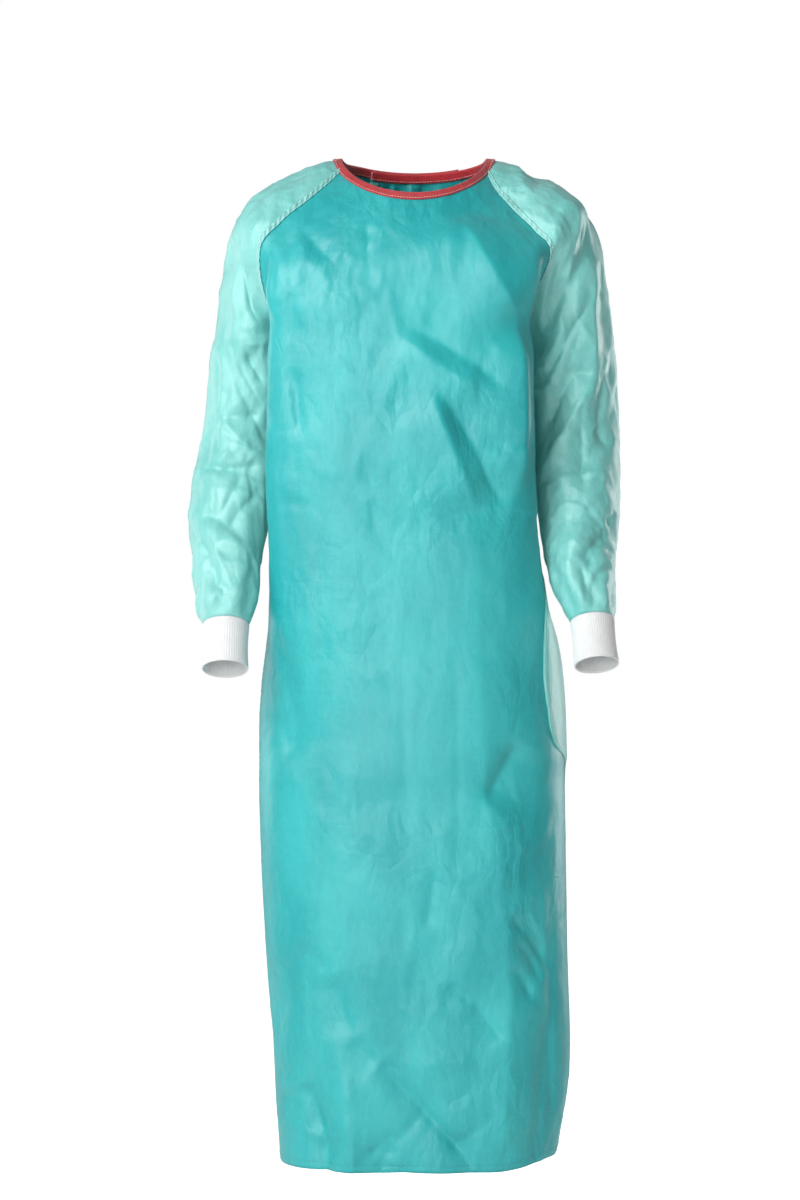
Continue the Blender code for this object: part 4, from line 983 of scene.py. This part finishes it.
def layer_step(grid, past):
    """How far the outer back panel stands off the layer below: nothing at its own seam, a full step
    where the under panel lies beneath it, and little at its free edge and where it lies on the front."""
    step = np.empty(past.shape)
    for i, line in enumerate(grid):
        lengths = lengths_along(line)
        to_seam = lengths[-1] - lengths
        near_neck = 1 - smooth(cap_along(min(i, CAP_ROWS)))
        full = LAYER_STEP + (LAYER_STEP_AT_NECK - LAYER_STEP) * near_neck
        lapped = (1 - lap_at(i).under) * (to_seam[0] - past[i, 0])
        over = full * smooth(to_seam / (lapped * 0.8))
        at_edge = (1 - smooth(lengths / EDGE_RISE)) * (1 - near_neck)
        step[i] = over * (1 - EDGE_CLOSE * np.maximum(at_edge, smooth(past[i] / FLAP_RISE)))
    return step


def neck_gathers(grid):
    """The small upright folds that the tape draws into the back just below the neck."""
    found = np.zeros(grid.shape[:2])
    down = -grid[..., 2]
    for fold in NECK_GATHERS:
        start, end = np.array([fold.x1, fold.down1]), np.array([fold.x2, fold.down2])
        found += ridge_height(np.stack([grid[..., 0], down], axis=-1), start, end, fold.width, fold.height)
    return found * smooth((down - 0.016) / 0.014) * smooth(grid[..., 1] / 0.04)


def back_panel(share_of, columns, seams):
    """The points of a back panel, the directions that it faces, and the relief of its cloth."""
    rows = range(CAP_ROWS + BODY_ROWS + 1)
    grid = eased(hem_shape(np.array([part_of_back(row, *share_of(row), columns) for row in rows])))
    normals = normals_of(grid)
    relief = panel_relief(grid, normals, BACK_FOLDS, BACK_CREASES)
    return grid, normals, relief * held_back(grid, seams, SEAM_HOLD) + neck_gathers(grid)


panel_cloth = woven_cloth("mint_cloth", MINT_LIGHT, MINT_DARK, 0.45, 0.8, 0.45)

under_grid, under_normals, under_moved = back_panel(
    lambda row: (0.0, lap_at(row).under), UNDER_COLUMNS, ("first", "top")
)
under_grid = under_grid + under_moved[..., None] * under_normals
under_cloth = cloth_object("back_under_cloth", under_grid, panel_cloth, inner=teal_cloth)
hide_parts("back_panel_under")

outer_grid, outer_normals, outer_moved = back_panel(
    lambda row: (lap_at(row).outer, 1.0), OUTER_COLUMNS, ("last", "top")
)
past = past_left_seam(outer_grid)
outer_moved *= smooth(np.abs(past) / SEAM_HOLD)
outer_moved += folds_and_creases(outer_grid, outer_normals, (), FLAP_CREASES, (), ())
outer_moved += layer_step(outer_grid, past)
outer_grid = outer_grid + outer_moved[..., None] * outer_normals
outer_cloth = cloth_object("back_outer_cloth", outer_grid, panel_cloth, inner=teal_cloth)
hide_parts("back_panel_outer")


# The cuffs
# Tubes of white ribbed knit, folded double, sewn to the gathered ends of the sleeves.

CUFF_LENGTH = 0.060
CUFF_WAIST = 0.05
CUFF_ROWS = 24
CUFF_COLUMNS = 216
CUFF_RIBS = 54
RIB_HEIGHT = 0.00035
CUFF_CLOTH = 0.0018
KNIT_WHITE = (0.86, 0.87, 0.87)


def knit_cloth():
    """White knit: soft, matt, with the small loops of its stitches."""
    made = bpy.data.materials.new("white_knit")
    made.use_nodes = True
    link = made.node_tree.links.new
    shader = made.node_tree.nodes["Principled BSDF"]
    where = add_node(made, "ShaderNodeTexCoord")
    tone = add_node(made, "ShaderNodeTexNoise", Vector=where.outputs["Object"], Scale=60.0, Detail=3.0)
    ramp = add_node(made, "ShaderNodeValToRGB", Fac=tone.outputs["Fac"])
    ramp.color_ramp.elements[0].position = 0.3
    ramp.color_ramp.elements[0].color = (*(0.93 * c for c in KNIT_WHITE), 1)
    ramp.color_ramp.elements[1].position = 0.7
    ramp.color_ramp.elements[1].color = (*KNIT_WHITE, 1)
    link(ramp.outputs["Color"], shader.inputs["Base Color"])
    loops = add_node(
        made, "ShaderNodeTexWave", {"bands_direction": "Y"}, Vector=where.outputs["UV"], Scale=250.0
    )
    bump = add_node(made, "ShaderNodeBump", Height=loops.outputs["Fac"], Strength=0.4, Distance=0.0004)
    link(bump.outputs["Normal"], shader.inputs["Normal"])
    shader.inputs["Roughness"].default_value = 0.85
    shader.inputs["Sheen Weight"].default_value = 0.4
    return made


def cuff_grid(ring):
    """The points of a cuff that carries on from the last ring of its sleeve."""
    centre = ring[:-1].mean(axis=0)
    turning = np.cross(ring[:-1] - centre, ring[1:] - centre).sum(axis=0)
    down = turning / np.linalg.norm(turning)
    down = -down if down[2] > 0 else down
    line = evenly(ring, CUFF_COLUMNS)
    across = np.gradient(line, axis=0)
    across[0] = across[-1] = line[1] - line[-2]
    out = np.cross(down, across)
    out /= np.linalg.norm(out, axis=1, keepdims=True)
    turn = np.linspace(0, 2 * math.pi * CUFF_RIBS, len(line))
    rows = []
    for share in np.linspace(0, 1, CUFF_ROWS + 1):
        narrowed = 1 - CUFF_WAIST * math.sin(math.pi * share)
        rib = RIB_HEIGHT * np.sin(turn) * smooth(share / 0.06) * smooth((1 - share) / 0.05)
        points = centre + (line - centre) * narrowed + down * share * CUFF_LENGTH
        rows.append(points + rib[:, None] * out)
    return np.array(rows)


white_knit = knit_cloth()
for side, grid in sleeve_grids.items():
    name = f"cuff_{side}_knit"
    made = cloth_object(name, cuff_grid(grid[-1]), white_knit, 0, CUFF_CLOTH)
    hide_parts(f"cuff_{side}")


# The neck tape
# A strip of red woven tape folded over the raw neck edge and held by one row of stitching through
# both of its legs. Its ends lie on the two back panels, where these lap.

TAPE_DEPTH = 0.0105
TAPE_THICK = 0.0010
TAPE_FOLD = 0.0015
TAPE_ROOM = 0.0012
TAPE_STEPS = 300
STITCH = 0.0026
STITCH_GAP = 0.0011
TAPE_RED = (0.560, 0.022, 0.032)
TAPE_DARK_RED = (0.420, 0.012, 0.022)


def neck_path(grids):
    """The neck edge from the end of the under panel round the front to the end of the outer panel: its
    points, the way that the cloth faces, and the way down into the cloth."""
    points, facing, into = [], [], []
    for grid in grids:
        line = grid[0, ::-1]
        points.append(line[:-1])
        facing.append(normals_of(grid[:3])[0, ::-1][:-1])
        into.append((grid[3] - grid[0])[::-1][:-1])
    rows = [np.concatenate(part) for part in (points, facing, into)]
    lengths = lengths_along(rows[0])
    at = np.linspace(0, lengths[-1], TAPE_STEPS + 1)
    found = [np.stack([np.interp(at, lengths, row[:, k]) for k in range(3)], axis=1) for row in rows]
    for row in found[1:]:
        for _ in range(3):
            row[1:-1] = (row[:-2] + row[1:-1] + row[2:]) / 3
        row /= np.linalg.norm(row, axis=1, keepdims=True)
    return found


def tape_outline():
    """The cross-section of the folded tape, as its distance from the cloth and its depth below the
    edge, from the lower end of its outer leg over the fold to that of its inner leg."""
    middle = TAPE_ROOM + TAPE_THICK / 2
    leg = [(middle, depth) for depth in np.linspace(TAPE_DEPTH, 0.0008, 7)]
    bend = [
        (middle * math.cos(a), -TAPE_FOLD * math.sin(a)) for a in np.linspace(0, math.pi, 9)
    ]
    return leg + bend + [(-aside, depth) for aside, depth in leg[::-1]]


def woven_tape():
    """Red woven tape with a fine cross rib."""
    made = bpy.data.materials.new("red_tape")
    made.use_nodes = True
    link = made.node_tree.links.new
    shader = made.node_tree.nodes["Principled BSDF"]
    where = add_node(made, "ShaderNodeTexCoord")
    tone = add_node(made, "ShaderNodeTexNoise", Vector=where.outputs["Object"], Scale=120.0, Detail=3.0)
    ramp = add_node(made, "ShaderNodeValToRGB", Fac=tone.outputs["Fac"])
    ramp.color_ramp.elements[0].position = 0.25
    ramp.color_ramp.elements[0].color = (*TAPE_DARK_RED, 1)
    ramp.color_ramp.elements[1].position = 0.6
    ramp.color_ramp.elements[1].color = (*TAPE_RED, 1)
    link(ramp.outputs["Color"], shader.inputs["Base Color"])
    ribs = add_node(
        made, "ShaderNodeTexWave", {"bands_direction": "Y"}, Vector=where.outputs["UV"], Scale=260.0
    )
    bump = add_node(made, "ShaderNodeBump", Height=ribs.outputs["Fac"], Strength=0.5, Distance=0.0003)
    link(bump.outputs["Normal"], shader.inputs["Normal"])
    shader.inputs["Roughness"].default_value = 0.6
    shader.inputs["Sheen Weight"].default_value = 0.3
    return made


def sewing_thread(name, colour):
    made = bpy.data.materials.new(name)
    made.use_nodes = True
    shader = made.node_tree.nodes["Principled BSDF"]
    where = add_node(made, "ShaderNodeTexCoord")
    tone = add_node(made, "ShaderNodeTexNoise", Vector=where.outputs["Object"], Scale=900.0)
    ramp = add_node(made, "ShaderNodeValToRGB", Fac=tone.outputs["Fac"])
    ramp.color_ramp.elements[0].color = (*(0.8 * c for c in colour), 1)
    ramp.color_ramp.elements[1].color = (*colour, 1)
    made.node_tree.links.new(ramp.outputs["Color"], shader.inputs["Base Color"])
    shader.inputs["Roughness"].default_value = 0.5
    return made


def stitch_row(name, path, facing, thread, carrier, radius=0.00042, lift=0.0002):
    """A row of stitches along a path, each one a short thread with round ends, all of them one mesh."""
    lengths = lengths_along(path)
    count = int(lengths[-1] / (STITCH + STITCH_GAP))
    starts = (np.arange(count) + 0.15) * lengths[-1] / count
    shares = np.array([0.0, 0.2, 0.8, 1.0])
    swell = np.array([0.3, 1.0, 1.0, 0.3])
    angles = np.linspace(0, 2 * math.pi, 5, endpoint=False)
    points, faces = [], []
    for start in starts:
        at = start + shares * STITCH
        middle = points_at(path, at) + lift * points_at_facing(facing, lengths, at)
        out = points_at_facing(facing, lengths, at)
        run = middle[-1] - middle[0]
        run /= np.linalg.norm(run)
        aside = np.cross(run, out)
        base = len(points)
        for k in range(4):
            for angle in angles:
                ring = math.cos(angle) * aside[k] + math.sin(angle) * out[k]
                points.append(middle[k] + radius * swell[k] * ring)
        for k in range(3):
            for m in range(5):
                n = (m + 1) % 5
                a, b = base + 5 * k + m, base + 5 * k + n
                faces.append((a, b, b + 5, a + 5))
        faces.append(tuple(base + m for m in range(4, -1, -1)))
        faces.append(tuple(base + 15 + m for m in range(5)))
    mesh = bpy.data.meshes.new(name)
    mesh.from_pydata([tuple(p) for p in points], [], faces)
    mesh.shade_smooth()
    mesh.materials.append(thread)
    made = bpy.data.objects.new(name, mesh)
    bpy.context.scene.collection.objects.link(made)
    made.parent = carrier
    return made


def points_at_facing(facing, lengths, at):
    """Directions at distances along a path, each one unit long."""
    found = np.stack([np.interp(at, lengths, facing[:, k]) for k in range(3)], axis=1)
    return found / np.linalg.norm(found, axis=1, keepdims=True)


tape_points, tape_facing, tape_into = neck_path(
    (under_grid, sleeve_grids["left"], front_grid, sleeve_grids["right"], outer_grid)
)
tape_rings = [
    tape_points + aside * tape_facing + depth * tape_into for aside, depth in tape_outline()
]
tape_grid = np.stack(tape_rings, axis=1)
red_tape = woven_tape()
neck_tape = cloth_object("neck_tape", tape_grid, red_tape, thick=TAPE_THICK)
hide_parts("neck_binding")

pale_thread = sewing_thread("pale_thread", (0.85, 0.60, 0.58))
outside = TAPE_ROOM + TAPE_THICK
for name, side in (("neck_stitching", 1), ("neck_stitching_inside", -1)):
    path = tape_points + side * outside * tape_facing + 0.0080 * tape_into
    stitch_row(name, path, side * tape_facing, pale_thread, neck_tape)


# The seams and hems
# The raglan and side seams are felled: the allowance is folded into a flat band and stitched down by
# two rows. The lower edge and the free edges of the back panels are turned once and stitched.

SEAM_BAND = 0.0068
HEM_DEPTH = 0.0120
BAND_STEP = 0.0016
BAND_CLOTH = 0.0009
PUCKER = 0.0006
PUCKER_PITCH = 0.0095


def edge_band(lines, width, lift, pucker=0.0):
    """A narrow band of points on a panel, beside its edge. Each line leads from the edge into the
    panel. Gives the points and the way that they face."""
    inward = np.array([points_at(line, np.linspace(0, width, 6)) for line in lines])
    lengths = lengths_along(inward[:, 0])
    at = np.linspace(0, lengths[-1], max(8, int(lengths[-1] / BAND_STEP)))
    fine = np.empty((len(at), 6, 3))
    for k in range(6):
        for axis in range(3):
            fine[:, k, axis] = np.interp(at, lengths, inward[:, k, axis])
    facing = normals_of(fine)
    wave = np.sin(2 * math.pi * (at[:, None] / PUCKER_PITCH + np.linspace(0, 0.5, 6)[None, :]))
    return fine + (lift + pucker * wave)[..., None] * facing, facing


mint_thread = sewing_thread("mint_thread", (0.80, 0.95, 0.92))


def felled_seam(
    name, lines, carrier, material, thread, width=SEAM_BAND, rows=(0.16, 0.84), pucker=PUCKER, flip=1
):
    """A band along an edge, with its rows of stitching. A turned hem has its band inside the gown, and
    its one row shows on the outside of the cloth."""
    edge, facing = edge_band(lines, width, 0.0, pucker)
    facing = facing * flip
    grid = edge + (CLOTH / 2 + BAND_CLOTH / 2 + 0.0002) * facing
    band = cloth_object(name, grid if flip > 0 else grid[:, ::-1], material, thick=BAND_CLOTH)
    if len(rows) == 1:
        outside = edge[:, 4] - CLOTH / 2 * facing[:, 4]
        stitch_row(f"{name}_stitches_outside", outside, -facing[:, 4], thread, band)
        return band
    for number, share in enumerate(rows):
        k = share * 5
        low, part = int(k), k - int(k)
        path = grid[:, low] * (1 - part) + grid[:, low + 1] * part + BAND_CLOTH / 2 * facing[:, low]
        stitch_row(f"{name}_stitches_{number + 1}", path, facing[:, low], thread, band)
    return band


def side_lines(grid, last, start, stop):
    """Lines that lead from one edge of a panel into it, one for each row."""
    rows = grid[start:stop, ::-1] if last else grid[start:stop]
    return [row[:12] for row in rows]


# the columns of the right sleeve run from the back of the arm to its front
for side, grid in sleeve_grids.items():
    front_last = side == "right"
    for name, last in (("front", front_last), ("back", not front_last)):
        lines = side_lines(grid, last, 2, CAP_ROWS)
        flip = -1 if last else 1
        felled_seam(f"raglan_{name}_{side}", lines, sleeves[side], sleeve_cloth, mint_thread, flip=flip)

last_row = CAP_ROWS + BODY_ROWS + 1
felled_seam("side_seam_left", side_lines(under_grid, False, CAP_ROWS + 2, last_row), under_cloth,
            panel_cloth, mint_thread)
felled_seam("side_seam_right", side_lines(outer_grid, True, CAP_ROWS + 2, last_row), outer_cloth,
            panel_cloth, mint_thread, flip=-1)
teal_thread = sewing_thread("teal_thread", (0.08, 0.47, 0.48))
for name, grid, cloth, material, thread in (
    ("front", front_grid, front_cloth, teal_cloth, teal_thread),
    ("under", under_grid, under_cloth, panel_cloth, mint_thread),
    ("outer", outer_grid, outer_cloth, panel_cloth, mint_thread),
):
    lines = [grid[::-1][:8, j] for j in range(1, grid.shape[1] - 1)]
    felled_seam(f"hem_{name}", lines, cloth, material, thread, HEM_DEPTH, (0.9,), 0.0, flip=-1)
felled_seam("free_edge_outer", side_lines(outer_grid, False, 6, last_row), outer_cloth, panel_cloth,
            mint_thread, HEM_DEPTH, (0.9,), 0.0, flip=-1)
felled_seam("free_edge_under", side_lines(under_grid, True, 6, last_row), under_cloth, panel_cloth,
            mint_thread, HEM_DEPTH, (0.9,), 0.0)


# The studio
# A pale floor that runs out of sight under the gown, soft light from large lamps, and a camera that
# stands level, four metres in front of it.

FLOOR_DOWN = 1.52
FLOOR_SIZE = 60.0
CAMERA_AWAY = 4.0
CAMERA_X = -0.018
CAMERA_DOWN = 0.563
LENS = 93.75
SKY_IN_FRONT = 0.06
SKY_BEHIND = 0.35

floor_mesh = bpy.data.meshes.new("floor")
half = FLOOR_SIZE / 2
corners = [(-half, -half), (half, -half), (half, half), (-half, half)]
floor_mesh.from_pydata([(x, y, -FLOOR_DOWN) for x, y in corners], [], [(0, 1, 2, 3)])
floor_paint = bpy.data.materials.new("pale_floor")
floor_paint.use_nodes = True
floor_shader = floor_paint.node_tree.nodes["Principled BSDF"]
floor_shader.inputs["Base Color"].default_value = (0.92, 0.92, 0.92, 1)
floor_shader.inputs["Roughness"].default_value = 0.9
floor_shader.inputs["Emission Color"].default_value = (1, 1, 1, 1)
floor_seen = floor_paint.node_tree.nodes.new("ShaderNodeLightPath")
floor_glow = floor_paint.node_tree.nodes.new("ShaderNodeMath")
floor_glow.operation = "MULTIPLY"
floor_glow.inputs[1].default_value = 0.9
floor_paint.node_tree.links.new(floor_seen.outputs["Is Camera Ray"], floor_glow.inputs[0])
floor_paint.node_tree.links.new(floor_glow.outputs["Value"], floor_shader.inputs["Emission Strength"])
floor_mesh.materials.append(floor_paint)
floor = bpy.data.objects.new("floor", floor_mesh)
bpy.context.scene.collection.objects.link(floor)

world = bpy.data.worlds.new("studio_white")
world.use_nodes = True
sky = world.node_tree.nodes["Background"]
sky.inputs["Color"].default_value = (1, 1, 1, 1)
where = world.node_tree.nodes.new("ShaderNodeTexCoord")
split = world.node_tree.nodes.new("ShaderNodeSeparateXYZ")
bright = world.node_tree.nodes.new("ShaderNodeMapRange")
bright.inputs["From Min"].default_value = -1.0
bright.inputs["From Max"].default_value = 1.0
bright.inputs["To Min"].default_value = SKY_IN_FRONT
bright.inputs["To Max"].default_value = SKY_BEHIND
seen = world.node_tree.nodes.new("ShaderNodeLightPath")
strength = world.node_tree.nodes.new("ShaderNodeMath")
strength.operation = "MAXIMUM"
link = world.node_tree.links.new
link(where.outputs["Generated"], split.inputs["Vector"])
link(split.outputs["Y"], bright.inputs["Value"])
link(bright.outputs["Result"], strength.inputs[0])
link(seen.outputs["Is Camera Ray"], strength.inputs[1])
link(strength.outputs["Value"], sky.inputs["Strength"])
bpy.context.scene.world = world
bpy.context.scene.view_settings.view_transform = "Standard"

Lamp = namedtuple("Lamp", "name x y z size_x size_y watts")
for lamp in (
    Lamp("front_light", -1.05, -3.2, -0.28, 2.3, 1.4, 42),
    Lamp("upper_light", -1.5, -2.2, 1.30, 1.3, 1.2, 52),
    Lamp("key_light", -2.2, -1.2, 0.30, 0.8, 1.1, 13),
    Lamp("fill_light", 1.7, -2.6, -0.70, 0.8, 0.8, 5),
    Lamp("right_light", 1.8, 1.5, -0.3, 0.4, 1.6, 20),
    Lamp("left_light", -1.8, 1.3, -0.3, 0.4, 1.6, 9),
):
    light = bpy.data.lights.new(lamp.name, "AREA")
    light.shape = "RECTANGLE"
    light.size, light.size_y = lamp.size_x, lamp.size_y
    light.energy = lamp.watts
    made = bpy.data.objects.new(lamp.name, light)
    made.location = (lamp.x, lamp.y, lamp.z)
    aim = Vector((0, 0, -0.45)) - made.location
    made.rotation_euler = aim.to_track_quat("-Z", "Y").to_euler()
    bpy.context.scene.collection.objects.link(made)

camera = bpy.data.objects.new("camera", bpy.data.cameras.new("camera"))
camera.data.lens = LENS
camera.data.sensor_width = 36
camera.location = (CAMERA_X, -CAMERA_AWAY, -CAMERA_DOWN)
camera.rotation_euler = (math.pi / 2, 0, 0)
bpy.context.scene.collection.objects.link(camera)
bpy.context.scene.camera = camera
